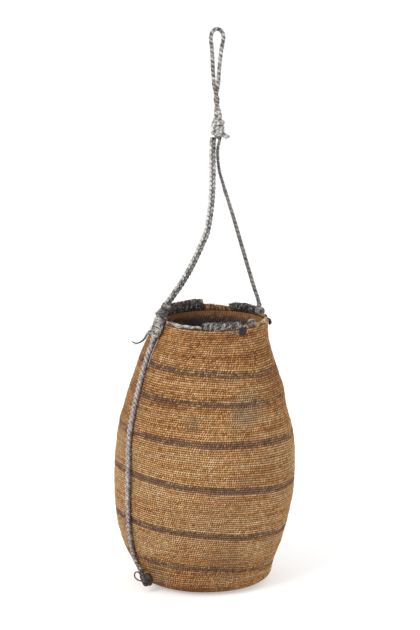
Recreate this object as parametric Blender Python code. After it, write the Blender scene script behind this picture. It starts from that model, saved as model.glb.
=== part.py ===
"""A twined basket with six dyed bands, a corded rim and a rope hanger.

Metres, +Z up. The origin is the centre of the flat underside, on which the basket stands.
Seen from the front, looking along +Y, the thick rope is on the left, at -X.
"""

from math import acos, cos, pi, radians, sin, sqrt

import bmesh
import bpy
from mathutils import Vector

for old in list(bpy.data.objects):
    bpy.data.objects.remove(old)

# The clearance between two pieces that touch
SEAT = 0.0003

# The woven body
HEIGHT = 0.339
BELLY_RADIUS = 0.113
MOUTH_RADIUS = 0.0675
CORNER_RADIUS = 0.0845
CORNER_HEIGHT = 0.015
FLAT_RADIUS = 0.050
WALL = 0.0045
MOUTH_SHIFT = 0.0107
ROW_STEP = 0.016
CORNER_ARC = radians(80)
COLUMNS = 36
CORNER_ROWS = 4
inner_row_share = 0.67
belly_height_share = 0.41
# Share of the rise from corner to belly, and share of the swell reached there
swell_shares = ((0, 0), (0.12, 0.19), (0.33, 0.57), (0.60, 0.87), (0.87, 0.995), (1, 1))
# Share of the rise from belly to mouth, and share of the swell that is left there
taper_shares = (
    (0, 1),
    (0.09, 0.998),
    (0.25, 0.955),
    (0.42, 0.79),
    (0.59, 0.60),
    (0.76, 0.355),
    (0.9, 0.14),
    (1, 0),
)
# Share of the height, and share of the mouth's shift to the right
lean_shares = (
    (0, 0),
    (0.06, -0.20),
    (0.12, -0.36),
    (0.20, -0.36),
    (0.36, -0.17),
    (0.50, -0.04),
    (0.66, -0.05),
    (0.76, 0.07),
    (0.86, 0.10),
    (0.92, 0.30),
    (1, 1),
)
# Share of the height, and how far a weft row sinks on the right, as a share of the radius
row_drop_shares = (
    (0, 0),
    (0.045, 0),
    (0.12, 0.10),
    (0.26, 0.10),
    (0.43, 0.10),
    (0.60, 0.057),
    (0.74, 0.053),
    (0.85, 0.08),
    (1, 0),
)

# The dyed bands, each three weft rows high
BAND_WIDTH = 0.0085
BAND_DEPTH = 0.0015
band_height_shares = (0.116, 0.256, 0.432, 0.597, 0.742, 0.847)

# The cords on the rim: a core along the edge, with a thread wound round it
RIM_CORE_DIAMETER = 0.0024
RIM_THREAD_DIAMETER = 0.0023
RIM_PITCH = 0.0042
THICK_CORE_DIAMETER = 0.0030
THICK_THREAD_DIAMETER = 0.0033
THICK_PITCH = 0.0054
RIM_END = 0.0018
EDGE_CORD_DIAMETER = 0.0026
LOOP_POINTS = 8
RIM_WRAP_SPANS = {
    "front": (-101.5, -59.5),
    "back_left": (104.0, 163.0),
    "back_right": (36.5, 71.5),
}
THICK_WRAP = "back_left"
EDGE_CORD_SPANS = {"left": (-154.0, -103.5), "middle": (-57.0, -50.5), "right": (-38.5, -8.0)}

# The lashing at the right end of the rim, where the thin cord is tied
TIE_RIGHT_SPAN = (23.5, 33.5)
TIE_RIGHT_THREAD = 0.0028
TIE_RIGHT_LOOPS = 3

# The side rope and the lashing at the left end of the rim
SIDE_ROPE_DIAMETER = 0.0072
SIDE_ROPE_STEP = 0.015
SIDE_ROPE_SLACK = 0.0003
TIE_THREAD_DIAMETER = 0.0024
TIE_PITCH = 0.0034
TIE_LOOPS = 4
TIE_START = 0.0035
TIE_ROOM = 0.0012
TIE_LEFT_ANGLE = radians(-160)
CROSSING_ARC = radians(60)
FOOT_ARC = radians(33)
FOOT_TURN = radians(45)
# Angle round the basket in degrees, share of the height, and share of the lashing's stand-off
side_rope_route_shares = (
    (-153.6, 0.972, 1),
    (-151.6, 0.952, 0.9),
    (-150.9, 0.925, 0.3),
    (-150.7, 0.893, 0),
    (-149.8, 0.828, 0),
    (-148.8, 0.743, 0),
    (-147.8, 0.667, 0),
    (-146.4, 0.58, 0),
    (-145, 0.47, 0),
    (-144.4, 0.35, 0),
    (-145.5, 0.22, 0),
    (-148, 0.13, 0),
)

# The thin thread beside the side rope, and the loose strand under the front lip
THREAD_DIAMETER = 0.0011
THREAD_STEP = 0.0066
thread_route_shares = ((-148.6, 0.945), (-148.1, 0.920), (-147.8, 0.885), (-147.2, 0.845))
STRAND_DIAMETER = 0.0015
STRAND_STEP = 0.0042
strand_route_shares = ((-74, 0.992), (-70, 0.986), (-66, 0.981), (-62.6, 0.978))

# The loose tail that leaves the left lashing on its outer side, as steps from the side rope there
TAIL_DIAMETER = 0.0044
TAIL_STEP = 0.0065
TAIL_START = (-0.0066, 0.0053, 0.0006)
TAIL_ROUTE = (
    (-0.0032, 0.0032, -0.0046),
    (-0.0063, 0.0062, -0.0103),
    (-0.0121, 0.0097, -0.0158),
    (-0.0168, 0.0122, -0.0174),
    (-0.0226, 0.0147, -0.0159),
)

# The knot at the edge of the base, with its loop of thong
BASE_KNOT = (0.0072, 0.0072, 0.0080)
BASE_KNOT_ANGLE = radians(-140)
base_knot_height_share = 0.056
BASE_KNOT_LUMP = 0.0052
THONG_DIAMETER = 0.0016
THONG_STEP = 0.0036
# Where the rope comes to the knot, and the thong's route round, as directions from the knot's centre
ROPE_TO_KNOT = Vector((-0.53, 0.48, 0.70))
thong_route_shares = (
    (-0.78, -0.20, 0.76),
    (-1.28, -0.12, 1.22),
    (-1.74, -0.06, 1.47),
    (-2.14, -0.04, 1.12),
    (-2.07, -0.06, 0.46),
    (-1.56, -0.12, 0.02),
    (-1.04, -0.20, -0.14),
)
THONG_END_LENGTH = 0.009
THONG_END_ANGLE = radians(7)
THONG_END_STEPS = 3

# The small knot on the rim, the tab under it and the cord end outside it
RIM_KNOT_RADIUS = 0.0048
RIM_KNOT_ANGLE = radians(-44.9)
TAB_THICKNESS = 0.0022
TAB_SPAN = (-61.2, -54.6)
tab_height_shares = (0.966, 0.997)
TAB_ROWS = 5
TAB_COLUMNS = 5
NUB_DIAMETER = 0.0042
NUB_LENGTH = 0.0030
NUB_ANGLE = radians(-1)
nub_height_share = 0.981

# The hanger: thick rope, thin cord and the knot that joins them
ROPE_DIAMETER = 0.0077
ROPE_STEP = 0.018
CORD_DIAMETER = 0.0034
CORD_STEP = 0.0098
HANGER_RISE = 0.2393
KNOT_SIDE = 0.0049
KNOT_UPPER = (0.0083, 0.0076, 0.0072)
KNOT_LOWER = (0.0088, 0.0076, 0.0046)
KNOT_SPACING = 0.0112
KNOT_STUB = (0.0074, 0.0036, 0.0036)
KNOT_STUB_PLACE = (0.0072, 0.0, -0.0020)
KNOT_STUB_TURN = radians(22)
ROPE_TO_TOP_KNOT = Vector((-0.50, 0.0, -0.87))
CORD_TO_TOP_KNOT = Vector((0.26, 0.0, -0.96))
# Share of the straight line from the lashing to the knot, and the bow beside it as a share of that line
rope_route_shares = (
    (0.06, -0.003),
    (0.13, -0.024),
    (0.22, -0.055),
    (0.33, -0.081),
    (0.44, -0.098),
    (0.51, -0.106),
    (0.62, -0.095),
    (0.72, -0.076),
    (0.82, -0.050),
    (0.93, -0.018),
)
cord_route_shares = (
    (0.04, 0.001),
    (0.12, 0.008),
    (0.32, 0.019),
    (0.52, 0.029),
    (0.62, 0.036),
    (0.76, 0.045),
    (0.83, 0.046),
    (0.93, 0.031),
)

# The loop that the basket hangs by, a doubled cord
LOOP_DIAMETER = 0.0044
LOOP_GAP = 0.0005
LOOP_HALF_WIDTH = 0.0080
LOOP_HEIGHT = 0.1085
LOOP_STEP = 0.0088
LOOP_LEAN = 0.0024
# Share of the half width beyond the neck, share of the loop's height, and share of its lean to the left
loop_route_shares = (
    (0, 0, 0),
    (0, 0.16, 0.7),
    (0, 0.32, 1),
    (0.26, 0.54, 1),
    (0.60, 0.76, 0.7),
    (0.96, 0.90, 0.45),
    (0.50, 0.975, 0.4),
)

# How finely curves are read, and how finely round ends and knots are cut
FINE_STEPS = 24
nudge_share = 0.0005
DOME_TURNS = (radians(35), radians(66))
CREASE_ANGLE = radians(40)
KNOT_CUTS = (16, 10)
LUMP_CUTS = (12, 8)


def through(points, at):
    """The value at one place on a smooth curve through points that never swings past them."""
    at = min(max(at, points[0][0]), points[-1][0])
    rates = [(b[1] - a[1]) / (b[0] - a[0]) for a, b in zip(points, points[1:])]
    slopes = [rates[0]]
    for before, after in zip(rates, rates[1:]):
        turns = before * after <= 0
        slopes.append(0 if turns else 2 * before * after / (before + after))
    slopes.append(rates[-1])
    index = 0
    while index < len(points) - 2 and at > points[index + 1][0]:
        index += 1
    (x0, y0), (x1, y1) = points[index : index + 2]
    t = (at - x0) / (x1 - x0)
    lift = (x1 - x0) * t * (1 - t) * (slopes[index] * (1 - t) - slopes[index + 1] * t)
    return y0 + (y1 - y0) * t * t * (3 - 2 * t) + lift


def outline_radius(height):
    """The outer radius of the wall at a height above the floor."""
    if height < CORNER_HEIGHT:
        turn = acos(1 - height / CORNER_HEIGHT * (1 - cos(CORNER_ARC)))
        return FLAT_RADIUS + (CORNER_RADIUS - FLAT_RADIUS) * sin(turn) / sin(CORNER_ARC)
    belly_height = belly_height_share * HEIGHT
    if height < belly_height:
        share = through(swell_shares, (height - CORNER_HEIGHT) / (belly_height - CORNER_HEIGHT))
        return CORNER_RADIUS + (BELLY_RADIUS - CORNER_RADIUS) * share
    share = through(taper_shares, (height - belly_height) / (HEIGHT - belly_height))
    return MOUTH_RADIUS + (BELLY_RADIUS - MOUTH_RADIUS) * share


def shift(height):
    """How far the basket's middle leans to the right at a height."""
    return MOUTH_SHIFT * through(lean_shares, height / HEIGHT)


def slope(height):
    """How fast the outline widens with height."""
    nudge = nudge_share * HEIGHT
    low, high = max(height - nudge, 0), min(height + nudge, HEIGHT)
    return (outline_radius(high) - outline_radius(low)) / (high - low)


def round_middle(angle, height, radius):
    """The point at a radius from the basket's leaning middle line."""
    return Vector((shift(height) + radius * cos(angle), radius * sin(angle), height))


def off_wall(angle, height, out):
    """A point that stands off the outer face, square to it."""
    rise = slope(height)
    steep = sqrt(1 + rise * rise)
    point = round_middle(angle, height, outline_radius(height) + out / steep)
    point.z -= out * rise / steep
    return point


def row_height(level, angle):
    """The height of a weft row, which sinks towards the right."""
    radius = outline_radius(level)
    return level - through(row_drop_shares, level / HEIGHT) * radius * cos(angle)


def row_ring(level, inset):
    """One weft row as a ring of points, an inset inside the outer face."""
    ring = []
    for column in range(COLUMNS):
        angle = 2 * pi * column / COLUMNS
        height = row_height(level, angle)
        ring.append(round_middle(angle, height, outline_radius(height) - inset))
    return ring


def level_ring(height, radius):
    return [round_middle(2 * pi * column / COLUMNS, height, radius) for column in range(COLUMNS)]


def material(name, colour, roughness):
    finish = bpy.data.materials.new(name)
    finish.use_nodes = True
    shader = finish.node_tree.nodes["Principled BSDF"]
    shader.inputs["Base Color"].default_value = (*colour, 1)
    shader.inputs["Roughness"].default_value = roughness
    shader.inputs["Metallic"].default_value = 0
    finish.diffuse_color = (*colour, 1)
    return finish


def finish_object(name, data, finish, origin, parent):
    """Puts a mesh or curve in the scene with its origin at a point, under a parent if it has one."""
    obj = bpy.data.objects.new(name, data)
    data.materials.append(finish)
    bpy.context.collection.objects.link(obj)
    obj.parent = parent
    obj.location = origin - (parent.location if parent else Vector())
    return obj


def mesh_object(name, bm, finish, origin=Vector(), parent=None):
    bmesh.ops.recalc_face_normals(bm, faces=bm.faces)
    mesh = bpy.data.meshes.new(name)
    bm.to_mesh(mesh)
    bm.free()
    mesh.shade_smooth()
    mesh.set_sharp_from_angle(angle=CREASE_ANGLE)
    return finish_object(name, mesh, finish, origin, parent)


def lofted(rings, closed):
    """A mesh through rings of points: a closed one joins the last to the first, another has flat ends."""
    bm = bmesh.new()
    rows = [[bm.verts.new(point) for point in ring] for ring in rings]
    pairs = list(zip(rows, rows[1:]))
    if closed:
        pairs.append((rows[-1], rows[0]))
    else:
        bm.faces.new(rows[0])
        bm.faces.new(rows[-1])
    for row, after in pairs:
        for i in range(len(row)):
            j = (i + 1) % len(row)
            bm.faces.new((row[i], row[j], after[j], after[i]))
    return bm


def smooth_route(route, step):
    """Points a step apart on a smooth curve through the route's points."""
    ends = [2 * route[0] - route[1], *route, 2 * route[-1] - route[-2]]
    dense = []
    for a, b, c, d in zip(ends, ends[1:], ends[2:], ends[3:]):
        for k in range(FINE_STEPS):
            t = k / FINE_STEPS
            bend = (2 * a - 5 * b + 4 * c - d) * t * t + (3 * b - a - 3 * c + d) * t * t * t
            dense.append(b + ((c - a) * t + bend) / 2)
    dense.append(route[-1])
    far = [0.0]
    for a, b in zip(dense, dense[1:]):
        far.append(far[-1] + (b - a).length)
    count = max(2, round(far[-1] / step))
    points, index = [], 0
    for k in range(count + 1):
        place = far[-1] * k / count
        while index < len(far) - 2 and far[index + 1] < place:
            index += 1
        part = (place - far[index]) / (far[index + 1] - far[index])
        points.append(dense[index].lerp(dense[index + 1], part))
    return points


def domed(points, radius, at_start, at_end):
    """Adds a round end to a tube's points, centred on its end point. It gives points and radius shares."""
    points, shares = list(points), [1.0] * len(points)
    if at_start:
        out = (points[0] - points[1]).normalized()
        first = points[0]
        for turn in DOME_TURNS:
            points.insert(0, first + out * radius * sin(turn))
            shares.insert(0, cos(turn))
    if at_end:
        out = (points[-1] - points[-2]).normalized()
        last = points[-1]
        for turn in DOME_TURNS:
            points.append(last + out * radius * sin(turn))
            shares.append(cos(turn))
    return points, shares


def tube(name, points, diameter, bevel, finish, shares=None, origin=Vector(), parent=None):
    """A cord of round section along its points."""
    curve = bpy.data.curves.new(name, "CURVE")
    curve.dimensions = "3D"
    curve.bevel_depth = diameter / 2
    curve.bevel_resolution = bevel
    curve.use_fill_caps = True
    spline = curve.splines.new("POLY")
    spline.points.add(len(points) - 1)
    spline.use_smooth = True
    for place, share, point in zip(points, shares or [1.0] * len(points), spline.points):
        point.co = (*(place - origin), 1)
        point.radius = share
    return finish_object(name, curve, finish, origin, parent)


def wound(path, reach, loops, reference, diameter):
    """A thread wound round a path: its points, which end in a straight run one diameter long."""
    steps = loops * LOOP_POINTS
    reach = reach / cos(pi / LOOP_POINTS)
    points = []
    for k in range(steps + 1):
        along = (len(path) - 1) * k / steps
        index = min(int(along), len(path) - 2)
        centre = path[index].lerp(path[index + 1], along - index)
        forward = (path[index + 1] - path[index]).normalized()
        up = (reference - reference.project(forward)).normalized()
        turn = 2 * pi * k / LOOP_POINTS
        points.append(centre + reach * (cos(turn) * up + sin(turn) * forward.cross(up)))
    start = (points[0] - points[1]).normalized() * diameter
    end = (points[-1] - points[-2]).normalized() * diameter
    return [points[0] + start, *points, points[-1] + end]


def print_least_gap(name, points, diameter):
    apart = LOOP_POINTS // 2
    least = min((p - q).length for i, p in enumerate(points) for q in points[i + apart + 1 :])
    print(name, "least gap to itself", round((least - diameter) * 1000, 2), "mm")


def ball(name, centre, sizes, finish, origin=Vector(), parent=None, turn=0.0, cuts=KNOT_CUTS):
    """An egg-shaped lump with three half sizes, turned about Y."""
    bm = bmesh.new()
    bmesh.ops.create_uvsphere(bm, u_segments=cuts[0], v_segments=cuts[1], radius=1)
    for vert in bm.verts:
        x, y, z = vert.co.x * sizes[0], vert.co.y * sizes[1], vert.co.z * sizes[2]
        vert.co = (x * cos(turn) + z * sin(turn), y, z * cos(turn) - x * sin(turn))
        vert.co += centre - origin
    return mesh_object(name, bm, finish, origin, parent)


def joined_with(obj, others):
    """Fuses lumps into one knot, and keeps each lump as a hidden helper."""
    for other in others:
        fuse = obj.modifiers.new(other.name, "BOOLEAN")
        fuse.operation = "UNION"
        fuse.solver = "EXACT"
        fuse.object = other
        other.hide_render = True
        other.display_type = "WIRE"
    return obj


def axis_empty(name, place):
    empty = bpy.data.objects.new(name, None)
    empty.location = place
    bpy.context.collection.objects.link(empty)
    return empty


# The woven body and its dyed bands


def band_levels(share):
    middle = share * HEIGHT
    return middle - BAND_WIDTH / 2, middle + BAND_WIDTH / 2


def outer_rings():
    """The outer face from the flat underside up to the rim, with a shallow channel for each band."""
    rings = []
    for row in range(CORNER_ROWS + 1):
        turn = CORNER_ARC * row / CORNER_ROWS
        height = CORNER_HEIGHT * (1 - cos(turn)) / (1 - cos(CORNER_ARC))
        rings.append(level_ring(height, outline_radius(height)))
    reached = CORNER_HEIGHT
    for low, high in [*map(band_levels, band_height_shares), (HEIGHT, None)]:
        rows = max(1, round((low - reached) / ROW_STEP))
        for row in range(1, rows):
            rings.append(row_ring(reached + (low - reached) * row / rows, 0))
        rings.append(row_ring(low, 0))
        if high is not None:
            rings.append(row_ring(low, BAND_DEPTH))
            rings.append(row_ring(high, BAND_DEPTH))
            rings.append(row_ring(high, 0))
            reached = high
    return rings


def inner_rings():
    """The inner face from the rim down to the floor."""
    rings = []
    rows = round(inner_row_share * (HEIGHT - CORNER_HEIGHT) / ROW_STEP)
    for row in range(rows):
        height = HEIGHT + (CORNER_HEIGHT - HEIGHT) * row / rows
        thick = WALL * sqrt(1 + slope(height) ** 2) if row else WALL
        rings.append(level_ring(height, outline_radius(height) - thick))
    for row in range(CORNER_ROWS, -1, -1):
        turn = CORNER_ARC * row / CORNER_ROWS
        radius = FLAT_RADIUS + (CORNER_RADIUS - WALL - FLAT_RADIUS) * sin(turn) / sin(CORNER_ARC)
        rise = (CORNER_HEIGHT - WALL) * (1 - cos(turn)) / (1 - cos(CORNER_ARC))
        rings.append(level_ring(WALL + rise, radius))
    return rings


def make_woven_wall():
    finish = material("twined_fibre", (0.40, 0.20, 0.08), 0.85)
    mesh_object("woven_wall", lofted(outer_rings() + inner_rings(), False), finish)


def make_dyed_bands():
    finish = material("dyed_weft", (0.13, 0.06, 0.045), 0.85)
    for number, share in enumerate(band_height_shares, 1):
        low, high = band_levels(share)
        low, high = low + SEAT, high - SEAT
        inner = BAND_DEPTH - SEAT
        rings = [row_ring(low, 0), row_ring(high, 0), row_ring(high, inner), row_ring(low, inner)]
        mesh_object(f"dyed_band_{number}", lofted(rings, True), finish)


# The cords along the rim


def rim_arc(span, height, step):
    """Points along the middle of the wall's top edge."""
    start, end = (radians(angle) for angle in span)
    radius = MOUTH_RADIUS - WALL / 2
    count = max(2, round(abs(end - start) * radius / step))
    places = [start + (end - start) * k / count for k in range(count + 1)]
    return [Vector((MOUTH_SHIFT + radius * cos(a), radius * sin(a), height)) for a in places]


def wrap_reach(thread, core=RIM_CORE_DIAMETER):
    """How far the middle of a wound thread lies from the middle of the rim's core."""
    return core / 2 + SEAT + thread / 2


def core_height(thread, core=RIM_CORE_DIAMETER):
    """The height of a rim core whose winding rests on the wall's edge."""
    return HEIGHT + SEAT + wrap_reach(thread, core) / cos(pi / LOOP_POINTS) + thread / 2


def widened(span, length):
    """A span along the rim, longer at both ends by a length."""
    more = length / MOUTH_RADIUS * 180 / pi
    return span[0] - more, span[1] + more


def make_rim_wraps():
    core_finish = material("rim_core_cord", (0.30, 0.27, 0.25), 0.9)
    wrap_finish = material("rim_wrap_cord", (0.42, 0.39, 0.36), 0.9)
    for place, span in RIM_WRAP_SPANS.items():
        core, thread, pitch = RIM_CORE_DIAMETER, RIM_THREAD_DIAMETER, RIM_PITCH
        if place == THICK_WRAP:
            core, thread, pitch = THICK_CORE_DIAMETER, THICK_THREAD_DIAMETER, THICK_PITCH
        height = core_height(thread, core)
        tube(f"rim_core_{place}", rim_arc(widened(span, RIM_END), height, 3 * core), core, 2, core_finish)
        path = rim_arc(span, height, core)
        length = radians(span[1] - span[0]) * (MOUTH_RADIUS - WALL / 2)
        loops = max(1, round(length / pitch))
        points = wound(path, wrap_reach(thread, core), loops, Vector((0, 0, 1)), thread)
        tube(f"rim_wrap_{place}", points, thread, 1, wrap_finish)
        print_least_gap(f"rim_wrap_{place}", points, thread)


def make_edge_cords():
    finish = material("pale_edge_cord", (0.55, 0.46, 0.33), 0.85)
    height = HEIGHT + SEAT + EDGE_CORD_DIAMETER / 2
    for place, span in EDGE_CORD_SPANS.items():
        points = rim_arc(span, height, 3 * EDGE_CORD_DIAMETER)
        tube(f"rim_edge_cord_{place}", points, EDGE_CORD_DIAMETER, 2, finish)


def make_tie_right():
    """The lashing round its own short core, on the rim's edge behind the right end."""
    finish = material("right_lashing_cord", (0.28, 0.24, 0.27), 0.9)
    height = core_height(TIE_RIGHT_THREAD)
    core = rim_arc(widened(TIE_RIGHT_SPAN, SEAT), height, 2 * RIM_CORE_DIAMETER)
    tube("tie_right_core", core, RIM_CORE_DIAMETER, 2, finish)
    path = rim_arc(TIE_RIGHT_SPAN, height, RIM_CORE_DIAMETER)
    reach = wrap_reach(TIE_RIGHT_THREAD)
    points = wound(path, reach, TIE_RIGHT_LOOPS, Vector((0, 0, 1)), TIE_RIGHT_THREAD)
    tube("tie_right", points, TIE_RIGHT_THREAD, 1, finish)
    print_least_gap("tie_right", points, TIE_RIGHT_THREAD)


def tie_right_place():
    """The middle of the thin cord's round end, on top of the right lashing."""
    middle = rim_arc(TIE_RIGHT_SPAN, core_height(TIE_RIGHT_THREAD), RIM_CORE_DIAMETER)
    foot = middle[len(middle) // 2].copy()
    reach = wrap_reach(TIE_RIGHT_THREAD) / cos(pi / LOOP_POINTS) + TIE_RIGHT_THREAD / 2
    foot.z += reach + SEAT + CORD_DIAMETER / 2
    return foot


# The side rope, with its lashing, its tail and the knot it ends in


def tie_left_place():
    """The middle of the thick rope's round end, over the outer edge of the rim."""
    off = ROPE_DIAMETER / 2 + TIE_ROOM
    radius = MOUTH_RADIUS + off * cos(CROSSING_ARC)
    place = round_middle(TIE_LEFT_ANGLE, HEIGHT, radius)
    place.z += off * sin(CROSSING_ARC)
    return place


def side_rope_top():
    """The middle of the side rope's round end, just below the thick rope's."""
    apart = (ROPE_DIAMETER + SIDE_ROPE_DIAMETER) / 2 + SEAT
    turn = TIE_LEFT_ANGLE + FOOT_TURN
    sideways = Vector((cos(turn), sin(turn), 0))
    return tie_left_place() + apart * (cos(FOOT_ARC) * sideways - Vector((0, 0, sin(FOOT_ARC))))


def tie_reach():
    """How far the middle of the left lashing's thread lies from the middle of the rope."""
    return SIDE_ROPE_DIAMETER / 2 + SEAT + TIE_THREAD_DIAMETER / 2


def beside_lump(centre, half_sizes, direction, diameter):
    """The middle of a round cord end that touches an egg-shaped lump from a direction."""
    direction = direction.normalized()
    far = [half + SEAT + diameter / 2 for half in half_sizes]
    return centre + Vector([a * b for a, b in zip(far, direction)])


def base_knot_place():
    height = base_knot_height_share * HEIGHT
    return off_wall(BASE_KNOT_ANGLE, height, BASE_KNOT[0] + SEAT)


def side_rope_points():
    seat = SIDE_ROPE_DIAMETER / 2 + SEAT + SIDE_ROPE_SLACK
    lashed = tie_reach() / cos(pi / LOOP_POINTS) + TIE_THREAD_DIAMETER / 2 - SIDE_ROPE_DIAMETER / 2
    route = [side_rope_top()]
    for angle, share, stand_off in side_rope_route_shares:
        out = seat + stand_off * lashed
        route.append(off_wall(radians(angle), share * HEIGHT, out))
    route.append(beside_lump(base_knot_place(), BASE_KNOT, ROPE_TO_KNOT, SIDE_ROPE_DIAMETER))
    return smooth_route(route, SIDE_ROPE_STEP)


def make_side_rope():
    finish = material("side_rope_fibre", (0.33, 0.29, 0.32), 0.9)
    points, shares = domed(side_rope_points(), SIDE_ROPE_DIAMETER / 2, True, True)
    tube("side_rope", points, SIDE_ROPE_DIAMETER, 4, finish, shares)


def make_tie_left():
    finish = material("left_lashing_cord", (0.45, 0.42, 0.40), 0.9)
    length = TIE_LOOPS * TIE_PITCH
    rope = smooth_route(side_rope_points(), TIE_START)
    path = rope[1 : 2 + round(length / TIE_START)]
    points = wound(path, tie_reach(), TIE_LOOPS, Vector((-1, 0, 0)), TIE_THREAD_DIAMETER)
    tube("tie_left", points, TIE_THREAD_DIAMETER, 1, finish)
    print_least_gap("tie_left", points, TIE_THREAD_DIAMETER)


def make_loose_tail():
    finish = material("tail_fibre", (0.40, 0.37, 0.35), 0.9)
    beside = smooth_route(side_rope_points(), TIE_START)[TIE_LOOPS]
    start = beside + Vector(TAIL_START)
    points = smooth_route([start, *(start + Vector(step) for step in TAIL_ROUTE)], TAIL_STEP)
    points, shares = domed(points, TAIL_DIAMETER / 2, False, True)
    tube("loose_tail", points, TAIL_DIAMETER, 2, finish, shares)


def make_wall_threads():
    finish = material("thin_thread", (0.50, 0.44, 0.38), 0.85)
    rows = (
        ("side_thread", thread_route_shares, THREAD_DIAMETER, THREAD_STEP),
        ("loose_rim_strand", strand_route_shares, STRAND_DIAMETER, STRAND_STEP),
    )
    for name, shares, diameter, step in rows:
        out = diameter / 2 + 2 * SEAT
        route = [off_wall(radians(angle), share * HEIGHT, out) for angle, share in shares]
        tube(name, smooth_route(route, step), diameter, 2, finish)


def make_base_knot():
    finish = material("dark_hide", (0.05, 0.035, 0.03), 0.6)
    centre = base_knot_place()
    knot = ball("base_knot", centre, BASE_KNOT, finish)
    lump = centre + Vector((BASE_KNOT_LUMP / 2, -BASE_KNOT_LUMP / 2, -BASE_KNOT_LUMP / 2))
    over = ball("base_knot_fold", lump, 3 * [BASE_KNOT_LUMP], finish, cuts=LUMP_CUTS)
    joined_with(knot, [over])
    route = [centre + BASE_KNOT[0] * Vector(place) for place in thong_route_shares]
    tube("base_thong_loop", smooth_route(route, THONG_STEP), THONG_DIAMETER, 2, finish)
    height = base_knot_height_share * HEIGHT - BASE_KNOT_LUMP
    start = BASE_KNOT_ANGLE + THONG_END_ANGLE
    end = start + THONG_END_LENGTH / CORNER_RADIUS
    out = THONG_DIAMETER / 2 + 2 * SEAT
    turns = [start + (end - start) * k / THONG_END_STEPS for k in range(THONG_END_STEPS + 1)]
    tube("base_thong_end", [off_wall(turn, height, out) for turn in turns], THONG_DIAMETER, 2, finish)


# The small pieces at the front right of the rim


def make_rim_knot():
    finish = material("rim_knot_cord", (0.52, 0.49, 0.47), 0.9)
    centre = Vector((cos(RIM_KNOT_ANGLE), sin(RIM_KNOT_ANGLE), 0)) * (MOUTH_RADIUS - WALL / 2)
    centre += Vector((MOUTH_SHIFT, 0, HEIGHT + SEAT + RIM_KNOT_RADIUS))
    ball("rim_knot", centre, 3 * [RIM_KNOT_RADIUS], finish)


def make_leather_tab():
    """A thin crowned tab that hangs against the wall below the rim."""
    finish = material("tab_hide", (0.06, 0.035, 0.05), 0.6)
    rings = []
    for row in range(TAB_ROWS):
        low, high = tab_height_shares
        share = low + (high - low) * row / (TAB_ROWS - 1)
        crown = sin(pi * (row + 1) / (TAB_ROWS + 1))
        inner, outer = [], []
        for column in range(TAB_COLUMNS):
            angle = radians(TAB_SPAN[0] + (TAB_SPAN[1] - TAB_SPAN[0]) * column / (TAB_COLUMNS - 1))
            bulge = crown * sin(pi * (column + 1) / (TAB_COLUMNS + 1))
            inner.append(off_wall(angle, share * HEIGHT, SEAT))
            outer.append(off_wall(angle, share * HEIGHT, SEAT + TAB_THICKNESS * bulge))
        rings.append(inner + outer[::-1])
    mesh_object("leather_tab", lofted(rings, False), finish)


def make_rim_nub():
    finish = material("nub_cord", (0.14, 0.12, 0.12), 0.85)
    out = NUB_DIAMETER / 2 + SEAT
    low = off_wall(NUB_ANGLE, nub_height_share * HEIGHT, out)
    high = off_wall(NUB_ANGLE, nub_height_share * HEIGHT + NUB_LENGTH, out)
    points, shares = domed([low, high], NUB_DIAMETER / 2, True, True)
    tube("rim_nub", points, NUB_DIAMETER, 3, finish, shares)


# The hanger, which swings about the line through both lashings


def top_knot_place():
    """The middle of the knot's lower wrap, over the line through both lashings."""
    left, right = tie_left_place(), tie_right_place()
    x = MOUTH_SHIFT + KNOT_SIDE
    share = (x - left.x) / (right.x - left.x)
    return Vector((x, left.y + (right.y - left.y) * share, HEIGHT + HANGER_RISE - KNOT_SPACING / 2))


def bowed_route(start, end, shares):
    """A route between two ends that bows to the left of the straight line between them."""
    line = end - start
    left = line.cross(Vector((0, 1, 0))).normalized() * line.length
    return [start, *(start + line * along + left * bow for along, bow in shares), end]


def make_hanger(parent):
    rope_finish = material("hanger_rope_fibre", (0.45, 0.42, 0.39), 0.9)
    cord_finish = material("hanger_cord_fibre", (0.25, 0.23, 0.21), 0.9)
    knot_finish = material("top_knot_fibre", (0.55, 0.52, 0.50), 0.9)
    origin = parent.location
    end = beside_lump(top_knot_place(), KNOT_LOWER, ROPE_TO_TOP_KNOT, ROPE_DIAMETER)
    route = bowed_route(tie_left_place(), end, rope_route_shares)
    points, shares = domed(smooth_route(route, ROPE_STEP), ROPE_DIAMETER / 2, True, True)
    tube("hanger_rope", points, ROPE_DIAMETER, 4, rope_finish, shares, origin, parent)
    end = beside_lump(top_knot_place(), KNOT_LOWER, CORD_TO_TOP_KNOT, CORD_DIAMETER)
    route = bowed_route(tie_right_place(), end, cord_route_shares)
    points, shares = domed(smooth_route(route, CORD_STEP), CORD_DIAMETER / 2, True, True)
    tube("hanger_cord", points, CORD_DIAMETER, 2, cord_finish, shares, origin, parent)
    low = top_knot_place()
    high = low + Vector((0, 0, KNOT_SPACING))
    knot = ball("top_knot", low, KNOT_LOWER, knot_finish, origin, parent)
    upper = ball("top_knot_upper_wrap", high, KNOT_UPPER, knot_finish, origin, parent)
    stub_place = low + Vector(KNOT_STUB_PLACE)
    turn = KNOT_STUB_TURN
    stub = ball("top_knot_stub", stub_place, KNOT_STUB, knot_finish, origin, parent, turn, LUMP_CUTS)
    joined_with(knot, [upper, stub])


def loop_place():
    """The middle between the loop's two round ends, on top of the knot."""
    return top_knot_place() + Vector((0, 0, KNOT_SPACING + KNOT_UPPER[2] + SEAT + LOOP_DIAMETER / 2))


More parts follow.
